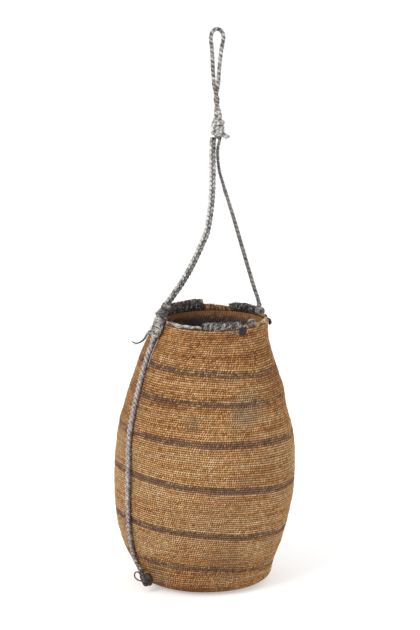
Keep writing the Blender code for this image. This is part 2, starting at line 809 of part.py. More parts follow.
def make_hanging_loop(parent):
    finish = material("loop_fibre", (0.48, 0.45, 0.42), 0.9)
    neck = (LOOP_DIAMETER + LOOP_GAP) / 2
    sides = {}
    for side in (-1, 1):
        sides[side] = []
        for wide, tall, lean in loop_route_shares:
            x = side * (neck + wide * (LOOP_HALF_WIDTH - neck)) - LOOP_LEAN * lean
            sides[side].append(parent.location + Vector((x, 0, tall * LOOP_HEIGHT)))
    top = parent.location + Vector((-LOOP_LEAN * loop_route_shares[-1][2], 0, LOOP_HEIGHT))
    route = [*sides[-1], top, *sides[1][::-1]]
    points, shares = domed(smooth_route(route, LOOP_STEP), LOOP_DIAMETER / 2, True, True)
    tube("hanging_loop", points, LOOP_DIAMETER, 3, finish, shares, parent.location, parent)


make_woven_wall()
make_dyed_bands()
make_rim_wraps()
make_edge_cords()
make_tie_right()
make_side_rope()
make_tie_left()
make_loose_tail()
make_wall_threads()
make_base_knot()
make_rim_knot()
make_leather_tab()
make_rim_nub()
make_hanger(axis_empty("hanger_axis", (tie_left_place() + tie_right_place()) / 2))
make_hanging_loop(axis_empty("loop_axis", loop_place()))
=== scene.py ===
"""The looks of a twined basket with six dyed bands, a corded rim and a rope hanger.

Metres, +Z up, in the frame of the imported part. The basket stands on its flat underside.
"""

from math import cos, pi, radians, sin

import bpy
import numpy as np
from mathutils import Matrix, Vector


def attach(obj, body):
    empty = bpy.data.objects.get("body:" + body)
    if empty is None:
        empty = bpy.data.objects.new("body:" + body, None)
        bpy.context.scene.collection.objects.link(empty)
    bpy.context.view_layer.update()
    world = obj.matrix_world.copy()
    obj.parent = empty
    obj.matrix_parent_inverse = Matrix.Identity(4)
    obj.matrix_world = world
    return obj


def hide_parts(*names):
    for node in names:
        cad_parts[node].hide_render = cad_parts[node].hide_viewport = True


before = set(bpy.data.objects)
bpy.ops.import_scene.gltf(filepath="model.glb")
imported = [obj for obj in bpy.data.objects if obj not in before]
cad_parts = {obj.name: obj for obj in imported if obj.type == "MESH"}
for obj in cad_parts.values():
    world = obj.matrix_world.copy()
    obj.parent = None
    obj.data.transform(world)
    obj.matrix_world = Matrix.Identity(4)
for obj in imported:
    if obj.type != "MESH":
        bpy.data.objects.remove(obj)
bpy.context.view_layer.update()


# The table and the light
# A wide pale table under an even white sky, one large soft lamp from the front left and a weaker one
# from the right. The camera looks down a little, from far off with a long lens.

LENS_MM = 228.6
CAMERA_DISTANCE = 5.0
CAMERA_RISE = radians(12.3)
CAMERA_TARGET = Vector((0.0057, 0, 0.343))
SKY_STRENGTH = 0.62
TABLE_HALF = 30.0
TABLE_GLOW = 0.42
LAMP_TARGET = Vector((0, 0, 0.25))
LAMPS = (
    # Name, place, size and power
    ("lamp_front_left", (-1.9, -2.6, 2.3), 1.6, 62),
    ("lamp_right", (2.6, -1.4, 1.5), 2.2, 16),
)


def srgb(code):
    """A colour given as RRGGBB, as the linear values that a shader takes."""
    values = [int(code[place : place + 2], 16) / 255 for place in (0, 2, 4)]
    return (*(v / 12.92 if v <= 0.04045 else ((v + 0.055) / 1.055) ** 2.4 for v in values), 1)


def add(tree, kind, inputs=None, stops=(), **settings):
    """Adds a node with its settings, and the stops of a ramp.

    Each input takes a plain value, an output, or a node for its first output.
    """
    made = tree.nodes.new("ShaderNode" + kind)
    for name, value in settings.items():
        setattr(made, name, value)
    if stops:
        elements = made.color_ramp.elements
        for element, (place, shade) in zip(elements, (stops[0], stops[-1])):
            element.position, element.color = place, srgb(shade)
        for place, shade in stops[1:-1]:
            elements.new(place).color = srgb(shade)
    for name, value in (inputs or {}).items():
        if isinstance(value, bpy.types.Node):
            value = value.outputs[0]
        if isinstance(value, bpy.types.NodeSocket):
            tree.links.new(value, made.inputs[name])
        else:
            made.inputs[name].default_value = value
    return made


def new_material(name):
    """A material with its node tree and its shader."""
    material = bpy.data.materials.new(name)
    material.use_nodes = True
    return material, material.node_tree, material.node_tree.nodes["Principled BSDF"]


scene = bpy.context.scene
scene.view_settings.view_transform = "Standard"
for old in [thing for thing in scene.objects if thing.type in ("CAMERA", "LIGHT")]:
    bpy.data.objects.remove(old)

camera_data = bpy.data.cameras.new("camera")
camera_data.lens = LENS_MM
camera_data.sensor_width = 36.0
camera_data.clip_end = 100.0
camera = bpy.data.objects.new("camera", camera_data)
scene.collection.objects.link(camera)
camera.location = CAMERA_TARGET + CAMERA_DISTANCE * Vector((0, -cos(CAMERA_RISE), sin(CAMERA_RISE)))
camera.rotation_euler = (pi / 2 - CAMERA_RISE, 0, 0)
scene.camera = camera

sky = bpy.data.worlds.new("even_white_sky")
sky.use_nodes = True
tree = sky.node_tree
sky_light = tree.nodes["Background"]
sky_light.inputs["Color"].default_value = (1, 1, 1, 1)
sky_light.inputs["Strength"].default_value = SKY_STRENGTH
# Plain white to the camera and in reflections
ray = add(tree, "LightPath")
seen = add(tree, "Math", {0: ray.outputs["Is Camera Ray"], 1: ray.outputs["Is Glossy Ray"]})
seen = add(tree, "Math", {0: seen, 1: ray.outputs["Is Transmission Ray"]}, use_clamp=True)
white = add(tree, "Background", {"Color": (1, 1, 1, 1), "Strength": 1.0})
sky_seen = add(tree, "MixShader", {0: seen, 1: sky_light, 2: white})
tree.links.new(sky_seen.outputs[0], tree.nodes["World Output"].inputs["Surface"])
scene.world = sky

for lamp_name, place, size, power in LAMPS:
    lamp_data = bpy.data.lights.new(lamp_name, "AREA")
    lamp_data.size = size
    lamp_data.energy = power
    lamp = bpy.data.objects.new(lamp_name, lamp_data)
    lamp.location = place
    lamp.rotation_euler = (LAMP_TARGET - lamp.location).to_track_quat("-Z", "Y").to_euler()
    scene.collection.objects.link(lamp)

table_mesh = bpy.data.meshes.new("pale_table")
table_corners = [(x * TABLE_HALF, y * TABLE_HALF, 0) for x, y in ((-1, -1), (1, -1), (1, 1), (-1, 1))]
table_mesh.from_pydata(table_corners, [], [(0, 1, 2, 3)])
table = bpy.data.objects.new("pale_table", table_mesh)
scene.collection.objects.link(table)
# Matt white paint has no shine, and only takes the shadow
table_paint, tree, shader = new_material("matt_white_paint")
shader.inputs["Base Color"].default_value = srgb("F6F6F6")
shader.inputs["Roughness"].default_value = 0.9
shader.inputs["Emission Color"].default_value = (1, 1, 1, 1)
ray = add(tree, "LightPath")
glow = add(tree, "Math", {0: ray.outputs["Is Camera Ray"], 1: TABLE_GLOW}, operation="MULTIPLY")
tree.links.new(glow.outputs[0], shader.inputs["Emission Strength"])
table_mesh.materials.append(table_paint)


# The hanger's thick rope
# Plant fibre plaited in three strands, with painted light on its left side and a painted shade on its right.
# It is lashed to the left end of the rim, stands up in a bow and ends in the knot at the top.

HANGER_ROPE = (
    (-0.05510, -0.02395, 0.34337), (-0.05058, -0.02201, 0.35648), (-0.04138, -0.01975, 0.37064),
    (-0.02865, -0.01683, 0.38859), (-0.01576, -0.01328, 0.41129), (-0.00489, -0.00972, 0.43458),
    (0.00140, -0.00746, 0.44958), (0.00600, -0.00390, 0.47469), (0.00817, -0.00066, 0.49810),
    (0.00878, 0.00257, 0.52196), (0.00868, 0.00613, 0.54842), (0.00915, 0.00839, 0.56511),
)
ROPE_STRAND = 0.00176
ROPE_SPREAD = (0.0025, 0.0016)
PLAIT_PITCH = 0.0165
# Heights, and how much lighter the rope is there: dark at its foot and light halfway up
ROPE_WEAR = (0.344, 0.40, 0.44, 0.53, 0.565), (-0.20, -0.10, 0.10, 0.16, 0.02)
ROPE_FRAYS = (0.4469, 0.4264, 0.4019)
HAIR_RADIUS = 0.000125
FORWARD = (0, -1, 0)
# The corners of a face: how many rows and columns on
CORNERS = ((0, 0), (0, 1), (1, 1), (1, 0))


def unit(vectors):
    """Vectors of length one."""
    return vectors / np.linalg.norm(vectors, axis=-1, keepdims=True)


def length_along(line):
    """How far each point of a line lies from its start."""
    return np.concatenate([[0], np.cumsum(np.linalg.norm(np.diff(line, axis=0), axis=1))])


def smooth_route(route, step):
    """A smooth line through places, in even steps."""
    route = np.array(route, float)
    ends = np.vstack([2 * route[0] - route[1], route, 2 * route[-1] - route[-2]])
    t = np.linspace(0, 1, 24, endpoint=False)[:, None]
    fine = []
    for a, b, c, d in zip(ends, ends[1:], ends[2:], ends[3:]):
        bend = (2 * a - 5 * b + 4 * c - d) * t**2 + (3 * b - a - 3 * c + d) * t**3
        fine.append(b + ((c - a) * t + bend) / 2)
    fine = np.vstack([*fine, route[-1:]])
    reach = length_along(fine)
    at = np.linspace(0, reach[-1], max(2, round(reach[-1] / step)) + 1)
    return np.stack([np.interp(at, reach, fine[:, axis]) for axis in range(3)], -1)


def across_line(line, facing):
    """Directions square to a line: sideways, and out towards a facing direction."""
    along = unit(np.gradient(line, axis=0))
    facing = np.broadcast_to(np.array(facing, float), line.shape)
    out = unit(facing - along * (facing * along).sum(-1, keepdims=True))
    return np.cross(out, along), out


def strand_grid(line, radius, middle=None, full=None, tone=0.5, dark=None, facing=None, flat=1.0, around=8):
    """The surface of one strand with round ends, with its relief over its neighbours and its tone.

    The relief is 1 where the strand is farthest, full, from the middle line of its cord. A painted shade on
    one side, with painted light on the other, has a direction, an amount and the width over which it sets in.
    """
    radius = np.broadcast_to(radius, len(line)).astype(float)
    tone = np.broadcast_to(tone, len(line)).astype(float)
    along = unit(np.gradient(line, axis=0))
    if facing is None:
        side = np.empty_like(line)
        side[0] = unit(np.cross(along[0], (0.31, 0.52, 0.79)))
        for k in range(1, len(line)):
            side[k] = unit(side[k - 1] - along[k] * (side[k - 1] @ along[k]))
        out = np.cross(along, side)
    else:
        side, out = across_line(line, facing)
    turns = 2 * pi * np.arange(around) / around
    ring = np.cos(turns)[:, None] * side[:, None] + flat * np.sin(turns)[:, None] * out[:, None]
    points = line[:, None] + radius[:, None, None] * ring
    ends = []
    for end, way in ((0, -1), (-1, 1)):
        for turn in (radians(38), radians(72)):
            push = way * along[end] * radius[end] * sin(turn)
            ends.append(line[end] + push + radius[end] * cos(turn) * ring[end])
    points = np.concatenate([[ends[1]], [ends[0]], points, [ends[2]], [ends[3]]])
    keep = np.clip(np.arange(-2, len(line) + 2), 0, len(line) - 1)
    reach = length_along(line)[keep] * 1000
    reach[:2] -= radius[0] * 1000
    reach[-2:] += radius[-1] * 1000
    relief = np.ones(points.shape[:2])
    if middle is not None:
        off = np.linalg.norm(points - middle[keep][:, None], axis=-1)
        relief = np.clip((off / full - 0.42) / 0.5, 0, 1)
    shade = np.repeat(tone[keep][:, None], around, 1)
    # Painted shade on the dark side, and a little painted light on the other
    if dark is not None:
        way, amount, width = dark
        lean = ((points - middle[keep][:, None]) * way[keep][:, None]).sum(-1) / width
        shade = shade - amount * np.clip(lean, -0.4, 1)
    wide = np.median(radius) * 2000 * pi / around
    # The map starts elsewhere for each tone, so that the strands of a cord differ
    return points, lay_map(reach + 60 * tone[0], around, wide, 90 * tone[0]), relief, shade


def lay_map(reach, around, wide, turned=0.0):
    """Where the corners of each face of a tube lie along it and round it, in millimetres."""
    uv = np.empty((len(reach) - 1, around, 4, 2))
    for corner, (down, over) in enumerate(CORNERS):
        uv[:, :, corner, 0] = reach[down : len(reach) - 1 + down][:, None]
        uv[:, :, corner, 1] = (np.arange(around) + over) * wide + turned
    return uv


def laid_grids(
    line, facing, spread, pitch, radius, full, tones, plaited=False, size=1.0, dark=None, around=10
):
    """The strands of a cord, twisted or plaited along a line, one for each tone."""
    side, out = across_line(line, facing)
    turn = 2 * pi * length_along(line) / pitch
    size = np.broadcast_to(size, len(line))
    grids = []
    for number, tone in enumerate(tones):
        t = turn + 2 * pi * number / len(tones)
        wide, deep = (np.sin(t), np.sin(2 * t)) if plaited else (np.sin(t), np.cos(t))
        strand = line + (spread[0] * size * wide)[:, None] * side + (spread[1] * size * deep)[:, None] * out
        grids.append(strand_grid(strand, radius, line, full, tone, dark, around=around))
    return grids


def twisted_grids(line, radius, pitch, tones, facing=(0.2, -0.3, 0.93)):
    """Two plies twisted into one cord of a radius."""
    full = float(np.max(radius))
    return laid_grids(line, facing, (0.46, 0.46), pitch, radius * 0.60, full, tones, size=radius, around=8)


def mesh_piece(name, grids, finish, body, stands_for=(), capped=True):
    """A mesh of grids of squares, each closed round its second direction, that rides on a body."""
    places, corners, starts, uvs, reliefs, shades = [], [], [], [], [], []
    first, loops = 0, 0
    for points, uv, relief, shade in grids:
        rows, columns = points.shape[:2]
        i, j = np.meshgrid(np.arange(rows - 1), np.arange(columns), indexing="ij")
        after = (j + 1) % columns
        low, high = first + i * columns, first + (i + 1) * columns
        corners.append(np.stack([low + j, low + after, high + after, high + j], -1).ravel())
        starts.append(loops + 4 * np.arange((rows - 1) * columns))
        uvs.append(uv.reshape(-1, 2))
        loops += 4 * (rows - 1) * columns
        if capped:
            ring = np.arange(columns)
            corners += [first + ring[::-1], first + (rows - 1) * columns + ring]
            starts.append([loops, loops + columns])
            uvs += [np.repeat(uv[0, :1, 0], columns, 0), np.repeat(uv[-1, :1, 3], columns, 0)]
            loops += 2 * columns
        places.append(points.reshape(-1, 3))
        reliefs.append(np.broadcast_to(relief, points.shape[:2]).ravel())
        shades.append(np.broadcast_to(shade, points.shape[:2]).ravel())
        first += rows * columns
    mesh = bpy.data.meshes.new(name)
    mesh.vertices.add(first)
    mesh.vertices.foreach_set("co", np.concatenate(places).astype(np.float32).ravel())
    mesh.loops.add(loops)
    mesh.loops.foreach_set("vertex_index", np.concatenate(corners).astype(np.int32))
    starts = np.concatenate(starts).astype(np.int32)
    mesh.polygons.add(len(starts))
    mesh.polygons.foreach_set("loop_start", starts)
    mesh.update(calc_edges=True)
    layer = mesh.uv_layers.new(name="lay")
    layer.data.foreach_set("uv", np.concatenate(uvs).astype(np.float32).ravel())
    for mark, values in (("relief", reliefs), ("shade", shades)):
        spread = mesh.attributes.new(mark, "FLOAT", "POINT")
        spread.data.foreach_set("value", np.concatenate(values).astype(np.float32))
    mesh.shade_smooth()
    mesh.materials.append(finish)
    piece = bpy.data.objects.new(name, mesh)
    scene.collection.objects.link(piece)
    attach(piece, body)
    if stands_for:
        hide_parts(*stands_for)
    return piece


def even_stops(shades, low=0.0, high=1.0):
    """Where each shade of a ramp lies, evenly from a low tone to a high one."""
    return [(low + (high - low) * k / (len(shades) - 1), shade) for k, shade in enumerate(shades)]


def cord_fibre(name, shades, painted_groove_shade, blotch=1.0):
    """Dry, matt plant fibre, twisted into cord, with fine fibres along each strand and painted shade in its
    grooves.
    """
    material, tree, shader = new_material(name)
    # Fibres 0.4 mm wide and some 4 mm long, and worn patches 5 mm across
    along = add(tree, "Mapping", {0: add(tree, "UVMap", uv_map="lay"), "Scale": (0.25, 2.4, 1)})
    fibre = add(tree, "TexNoise", {"Vector": along, "Scale": 1.0, "Detail": 3.0})
    place = add(tree, "TexCoord").outputs["Object"]
    patch = add(tree, "TexNoise", {"Vector": place, "Scale": 210.0, "Detail": 3.0})
    tone = add(tree, "Attribute", attribute_name="shade").outputs["Fac"]
    for source, weight in ((fibre, 1.5), (patch, blotch)):
        tone = add(tree, "Math", {0: source, 1: weight, 2: tone}, operation="MULTIPLY_ADD")
    # Each pattern averages a half, so this keeps the strand's own tone in the middle
    tone = add(tree, "Math", {0: tone, 1: 0.75 + blotch / 2}, operation="SUBTRACT")
    # The grooves between strands, where the relief is low, take the painted groove shade
    relief = add(tree, "Attribute", attribute_name="relief")
    crown = add(tree, "MapRange", {0: relief.outputs["Fac"], 1: 0.0, 2: 0.75})
    shaded = add(tree, "ValToRGB", {0: tone}, even_stops(shades))
    colour = add(tree, "Mix", {0: crown, 6: srgb(painted_groove_shade), 7: shaded}, data_type="RGBA")
    bump = add(tree, "Bump", {"Height": fibre, "Strength": 0.7, "Distance": 0.0004})
    tree.links.new(colour.outputs[2], shader.inputs["Base Color"])
    tree.links.new(bump.outputs[0], shader.inputs["Normal"])
    shader.inputs["Roughness"].default_value = 0.88
    shader.inputs["Specular IOR Level"].default_value = 0.2
    return material


def stray_fibres(name, line, radius, count, seed, finish, body, reach=0.004):
    """Loose fibre ends that stand off a cord."""
    own = np.random.default_rng(seed)
    along = unit(np.gradient(line, axis=0))
    grids = []
    for k in own.integers(2, len(line) - 2, count):
        out = unit(np.cross(along[k], own.normal(size=3)))
        lean = out + along[k] * own.uniform(-1.4, 1.4)
        far = reach * own.uniform(0.4, 1.0)
        t = np.linspace(0, 1, 6)[:, None]
        hair = line[k] + out * radius * 0.8 + far * (t * lean + t**2 * own.normal(size=3) * 0.5)
        grids.append(strand_grid(hair, HAIR_RADIUS, tone=own.uniform(0.3, 0.8), around=4))
    return mesh_piece(name, grids, finish, body)


# Weathered fibre, nearly white where it stands out, with a near black painted shade between the strands
rope_fibre = cord_fibre("plaited_rope_fibre", ("3A3635", "827E7B", "BAB6B2", "EAE7E3"), "161313", 1.2)
rope_line = smooth_route(HANGER_ROPE, 0.0008)
rope_side, _ = across_line(rope_line, FORWARD)
rope_wear = np.interp(rope_line[:, 2], *ROPE_WEAR)
rope_tones = [tone + rope_wear for tone in (0.50, 0.68, 0.59)]
# Painted light on the rope's left side and a painted shade on its right, as the camera sees it
rope_grids = laid_grids(
    rope_line, FORWARD, ROPE_SPREAD, PLAIT_PITCH, ROPE_STRAND, 0.0045, rope_tones, True,
    dark=(-rope_side, 0.46, 0.0040),
)
hanger_rope = mesh_piece("hanger_rope_plait", rope_grids, rope_fibre, "hanger", ["hanger_rope"])
stray_fibres("hanger_rope_strays", rope_line, 0.0033, 150, 11, rope_fibre, "hanger")
# Three frayed places on the rope's left edge
for number, at_height in enumerate(ROPE_FRAYS, 1):
    k = int(np.argmin(abs(rope_line[:, 2] - at_height)))
    frayed = rope_line[k - 4 : k + 5] - 0.001 * rope_side[k]
    stray_fibres(f"hanger_rope_fray_{number}", frayed, 0.003, 14, 20 + number, rope_fibre, "hanger", 0.006)


# The hanger's thin cord
# Dark plant fibre in two plies, twisted, with a spliced place halfway. It runs from the right end of the
# rim up to the knot, and is fullest where it has frayed, below the splice.

HANGER_CORD = (
    (0.06749, 0.03213, 0.35038), (0.06531, 0.03118, 0.35897), (0.05987, 0.02928, 0.37590),
    (0.04766, 0.02453, 0.41854), (0.03568, 0.01979, 0.46124), (0.02925, 0.01741, 0.48249),
    (0.02043, 0.01409, 0.51228), (0.01677, 0.01243, 0.52735), (0.01513, 0.01005, 0.54968),
    (0.01842, 0.00839, 0.56633),
)
CORD_PLY = 0.00116
CORD_SPREAD = (0.00086, 0.00086)
CORD_PITCH = 0.0062
# Heights, and how full and how much lighter the cord is there
CORD_FULLNESS = (0.35, 0.37, 0.46, 0.52, 0.566), (1.20, 1.32, 1.30, 1.0, 1.0)
CORD_WEAR = (0.43, 0.49), (0.02, 0.18)
SPLICE_HEIGHT = 0.4955
SPLICE_SHIFT = (0.0006, 0.0006, 0)

# Dark fibre, a little paler on its crowns, with a near black painted shade in its grooves
dark_fibre = cord_fibre("twisted_dark_fibre", ("2C2A29", "5A5654", "8A8581", "B8B3AE"), "131111")
cord_line = smooth_route(HANGER_CORD, 0.0006)
cord_full = np.interp(cord_line[:, 2], *CORD_FULLNESS)
cord_wear = np.interp(cord_line[:, 2], *CORD_WEAR)
cord_grids = laid_grids(
    cord_line, FORWARD, CORD_SPREAD, CORD_PITCH, CORD_PLY * cord_full, 0.0026,
    (0.40 + cord_wear, 0.64 + cord_wear), size=cord_full,
)
hanger_cord = mesh_piece("hanger_cord_twist", cord_grids, dark_fibre, "hanger", ["hanger_cord"])
stray_fibres("hanger_cord_strays", cord_line, 0.0020, 200, 12, dark_fibre, "hanger", 0.002)
k = int(np.argmin(abs(cord_line[:, 2] - SPLICE_HEIGHT)))
splice_line = smooth_route(cord_line[k - 9 : k + 10 : 3] - np.array(SPLICE_SHIFT), 0.0004)
splice_grids = laid_grids(splice_line, FORWARD, (0.0012, 0.0012), 0.009, 0.0008, 0.0018, (0.6,) * 3, around=8)
mesh_piece("hanger_cord_splice", splice_grids, dark_fibre, "hanger")


# The hanging loop
# One length of grey plant fibre cord in two plies. Both its ends come out of the top of the knot, go once
# round each other in a short neck, and part into a narrow loop.

HANGING_LOOP = (
    (0.01315, 0.00839, 0.59360), (0.01147, 0.00839, 0.61096), (0.01075, 0.00839, 0.62832),
    (0.00931, 0.00839, 0.65219), (0.00814, 0.00839, 0.67606), (0.00674, 0.00839, 0.69125),
    (0.00941, 0.00839, 0.69939), (0.01464, 0.00839, 0.70210), (0.01986, 0.00839, 0.69939),
    (0.02230, 0.00839, 0.69125), (0.01970, 0.00839, 0.67606), (0.01709, 0.00839, 0.65219),
    (0.01565, 0.00839, 0.62832), (0.01637, 0.00839, 0.61096), (0.01805, 0.00839, 0.59360),
)
LOOP_PLY = 0.00146
LOOP_SPREAD = (0.00122, 0.00122)
LOOP_PITCH = 0.0058
# Heights of the neck, and where its middle is there
NECK_MIDDLE = (0.5936, 0.61096, 0.62832), (0.0156, 0.01392, 0.0132)
NECK_FOOT, NECK_TOP = 0.5936, 0.634

# Grey fibre, whose deep lay makes light and dark slants, deepened by a near black painted shade in its
# grooves
loop_fibre = cord_fibre("twisted_grey_fibre", ("2A2726", "6E6A68", "B4B0AD", "F4F2EF"), "0A0909", 1.5)
loop_line = smooth_route(HANGING_LOOP, 0.0007)
neck_middle = np.interp(loop_line[:, 2], *NECK_MIDDLE)
down_neck = np.clip((NECK_TOP - loop_line[:, 2]) / (NECK_TOP - NECK_FOOT), 0, 1)
neck_turn = 2 * pi * down_neck**2 * (3 - 2 * down_neck)
from_middle = (loop_line[:, 0] - neck_middle) * (1 - 0.35 * np.sin(pi * down_neck))
loop_line[:, 0] = np.where(down_neck > 0, neck_middle + from_middle * np.cos(neck_turn), loop_line[:, 0])
loop_line[:, 1] += np.where(down_neck > 0, from_middle * np.sin(neck_turn), 0)
loop_full = 1 - 0.12 * np.sin(pi * down_neck)
loop_grids = laid_grids(
    loop_line, FORWARD, LOOP_SPREAD, LOOP_PITCH, LOOP_PLY * loop_full, 0.0030, (0.36, 0.66), size=loop_full
)
hanging_loop = mesh_piece("hanging_loop_twist", loop_grids, loop_fibre, "loop", ["hanging_loop"])
stray_fibres("hanging_loop_strays", loop_line, 0.002, 120, 13, loop_fibre, "loop", 0.003)


# The loose tail
# The end of the lashing's cord, which opens into thin strands and stands out to the left below the rim.

LOOSE_TAIL = (
    (-0.06958, -0.03127, 0.32859), (-0.07278, -0.02807, 0.32399), (-0.07588, -0.02507, 0.31829),
    (-0.08168, -0.02157, 0.31279), (-0.08638, -0.01907, 0.31119), (-0.09218, -0.01657, 0.31269),
)
# Shares of its length, and how thick it still is there
TAIL_TAPER = (0, 0.45, 1), (1.0, 0.55, 0.22)

# Opened strands, even in tone, because less shade lies between them
tail_fibre = cord_fibre("frayed_cord_fibre", ("4A4440", "857E78", "B0A9A2", "D2CCC4"), "2A2522")
tail_line = smooth_route(LOOSE_TAIL, 0.0005)
tail_reach = length_along(tail_line)
tail_size = np.interp(tail_reach / tail_reach[-1], *TAIL_TAPER)
tail_grids = laid_grids(
    tail_line, FORWARD, (0.00115, 0.00115), 0.016, 0.00082 * tail_size + 0.0001, 0.0021, (0.4, 0.6, 0.5, 0.7),
    size=tail_size, around=8,
)
loose_tail = mesh_piece("loose_tail_strands", tail_grids, tail_fibre, "basket", ["loose_tail"])
stray_fibres("loose_tail_strays", tail_line, 0.001, 40, 14, tail_fibre, "basket", 0.004)


# The knot at the top
# The loop's cord is wound round the rope and the thin cord in a few close turns and drawn tight, and its
# end stands out to the right.

KNOT_LOW = np.array((0.0156, 0.00839, 0.5727))
KNOT_HIGH = np.array((0.0156, 0.00839, 0.5839))
KNOT_TURNS = (
    # Middle, half widths, tilt and roll in degrees, where it starts, climb, and radius of the cord
    ((0.0154, 0.00839, 0.5800), (0.0058, 0.0050), 8, 14, 0.1, 0.001, 0.0023),
    ((0.0156, 0.00839, 0.5840), (0.0062, 0.0054), -10, -12, 0.3, 0.001, 0.0024),
    ((0.0160, 0.00839, 0.5878), (0.0046, 0.0042), 6, 18, 0.6, 0.001, 0.0023),
    ((0.0156, 0.00839, 0.5912), (0.0032, 0.0032), -6, -14, 0.2, 0.001, 0.0022),
    ((0.0156, 0.00800, 0.5838), (0.0056, 0.0056), 62, 30, 0.0, 0.0, 0.0021),
    ((0.0154, 0.00839, 0.5730), (0.0066, 0.0054), 4, -8, 0.0, 0.001, 0.0023),
    ((0.0158, 0.00839, 0.5758), (0.0050, 0.0044), -6, 6, 0.5, 0.001, 0.0018),
)


def ring_line(centre, sizes, tilt, roll, start=0.0, climb=0.0, cuts=64):
    """A turn of cord round a lump. It tilts about X, rolls about Y and climbs along its own middle."""
    t = 2 * pi * (start + np.linspace(0, 1, cuts + 2))
    rise = climb * np.linspace(-0.5, 0.5, len(t))
    flat = np.stack([sizes[0] * np.cos(t), sizes[1] * np.sin(t), rise], -1)
    tilt, roll = radians(tilt), radians(roll)
    turn_x = np.array([(1, 0, 0), (0, cos(tilt), -sin(tilt)), (0, sin(tilt), cos(tilt))])
    turn_y = np.array([(cos(roll), 0, sin(roll)), (0, 1, 0), (-sin(roll), 0, cos(roll))])
    return np.array(centre) + flat @ turn_x.T @ turn_y.T


# The loop's fibre, drawn tight and rubbed paler on top
knot_fibre = cord_fibre("knotted_fibre", ("2F2C2B", "7A7673", "BAB6B3", "F0EEEB"), "0E0C0C", 1.4)
knot_grids = []
for *ring, radius in KNOT_TURNS:
    knot_grids += twisted_grids(ring_line(*ring), radius, 0.0050, (0.50, 0.82))
stub_start = KNOT_LOW + (0.0005, -0.0045, -0.0005)
stub_end = KNOT_LOW + (0.0118, -0.0010, -0.0050)
stub_middle = (stub_start + stub_end) / 2 + (0.0008, -0.0012, 0.0004)
stub_line = smooth_route((stub_start, stub_middle, stub_end), 0.0006)
knot_grids += twisted_grids(stub_line, 0.0030, 0.0070, (0.46, 0.68))
core_line = smooth_route((KNOT_LOW - (0, 0, 0.003), KNOT_LOW, KNOT_HIGH, KNOT_HIGH + (0, 0, 0.005)), 0.0012)
knot_grids.append(strand_grid(core_line, 0.0050, core_line, 0.0070, 0.34, around=12))
mesh_piece("top_knot_turns", knot_grids, knot_fibre, "hanger", ["top_knot"])
knot_middle = smooth_route((KNOT_LOW, (KNOT_LOW + KNOT_HIGH) / 2, KNOT_HIGH), 0.0006)
stray_fibres("top_knot_strays", knot_middle, 0.0078, 50, 15, knot_fibre, "hanger", 0.004)
stray_fibres("top_knot_stub_fray", stub_line[-6:], 0.0018, 26, 16, knot_fibre, "hanger", 0.004)


# The twined wall
# Two-ply wefts of tan plant fibre, twined row on row round upright warps from the centre of the base to
# the rim. Each row is a ridge of slanted stitches. The rows sink a little on the right side.

HEIGHT = 0.339
BELLY_RADIUS = 0.113
BELLY_HEIGHT = 0.139
MOUTH_RADIUS = 0.0675
CORNER_RADIUS = 0.0845
CORNER_HEIGHT = 0.015
CORNER_ARC = radians(80)
FLAT_RADIUS = 0.050
WALL = 0.0045
MOUTH_SHIFT = 0.0107
ROW_PITCH = 0.00275
STITCH_WIDTH = 0.0024
STITCH_CUTS = 5
ROW_CUTS = 3
STITCH_SLANT = 0.45
RELIEF = 0.0010
ROW_WANDER = 0.0003
ROW_SHIFT = 0.00022
BAND_WIDTH = 0.0085
LIP_ROLL = 0.0018
BANDS = (
    # Share of the height, dye of each row from the lowest up, and what is left of it at the sides
    (0.116, (0.56, 0.76, 0.36), 0.62),
    (0.256, (0.86, 0.96, 0.70), 0.74),
    (0.432, (0.90, 1.00, 0.78), 0.76),
    (0.597, (0.70, 0.90, 0.72), 0.70),
    (0.742, (0.76, 0.84, 0.34), 0.50),
    (0.847, (0.84, 0.34, 0.44), 0.60),
)
# Shares of a rise, and of the swell or lean reached there
SWELL = ((0, 0), (0.12, 0.19), (0.33, 0.57), (0.60, 0.87), (0.87, 0.995), (1, 1))
TAPER = ((0, 1), (0.09, 0.998), (0.25, 0.955), (0.42, 0.79), (0.59, 0.60), (0.76, 0.355), (0.9, 0.14), (1, 0))
LEAN = (
    (0, 0), (0.06, -0.20), (0.12, -0.36), (0.20, -0.36), (0.36, -0.17), (0.50, -0.04),
    (0.66, -0.05), (0.76, 0.07), (0.86, 0.10), (0.92, 0.30), (1, 1),
)
ROW_DROP = (
    (0, 0), (0.045, 0), (0.12, 0.10), (0.26, 0.10), (0.43, 0.10), (0.60, 0.057),
    (0.74, 0.053), (0.85, 0.08), (1, 0),
)
# The wall's own bulges: height, how tall, to the left or right, and how far out
BULGES = ((0.206, 0.006, -1, 0.0011), (0.257, 0.010, 1, 0.0012))
WAVE_DEPTH = 0.00015
# The rows that cover the flat underside, and the stitches in each
UNDER_ROWS, UNDER_STITCHES = 18, 96
# The underside's rows and the lip's are numbered on from here, so that their shades are their own
UNDER_FIRST_ROW, LIP_FIRST_ROW = 700, 900
UNDER_HOLE = 0.0004


def through(points, at):
    """Values on a smooth curve through points that never swings past them."""
    x, y = np.array(points, float).T
    rates = np.diff(y) / np.diff(x)
    before, after = rates[:-1], rates[1:]
    total = np.where(before + after == 0, 1, before + after)
    middle = np.where(before * after <= 0, 0, 2 * before * after / total)
    slopes = np.concatenate([rates[:1], middle, rates[-1:]])
    at = np.clip(at, x[0], x[-1])
    i = np.clip(np.searchsorted(x, at) - 1, 0, len(x) - 2)
    span = x[i + 1] - x[i]
    t = (at - x[i]) / span
    lift = span * t * (1 - t) * (slopes[i] * (1 - t) - slopes[i + 1] * t)
    return y[i] + (y[i + 1] - y[i]) * t * t * (3 - 2 * t) + lift


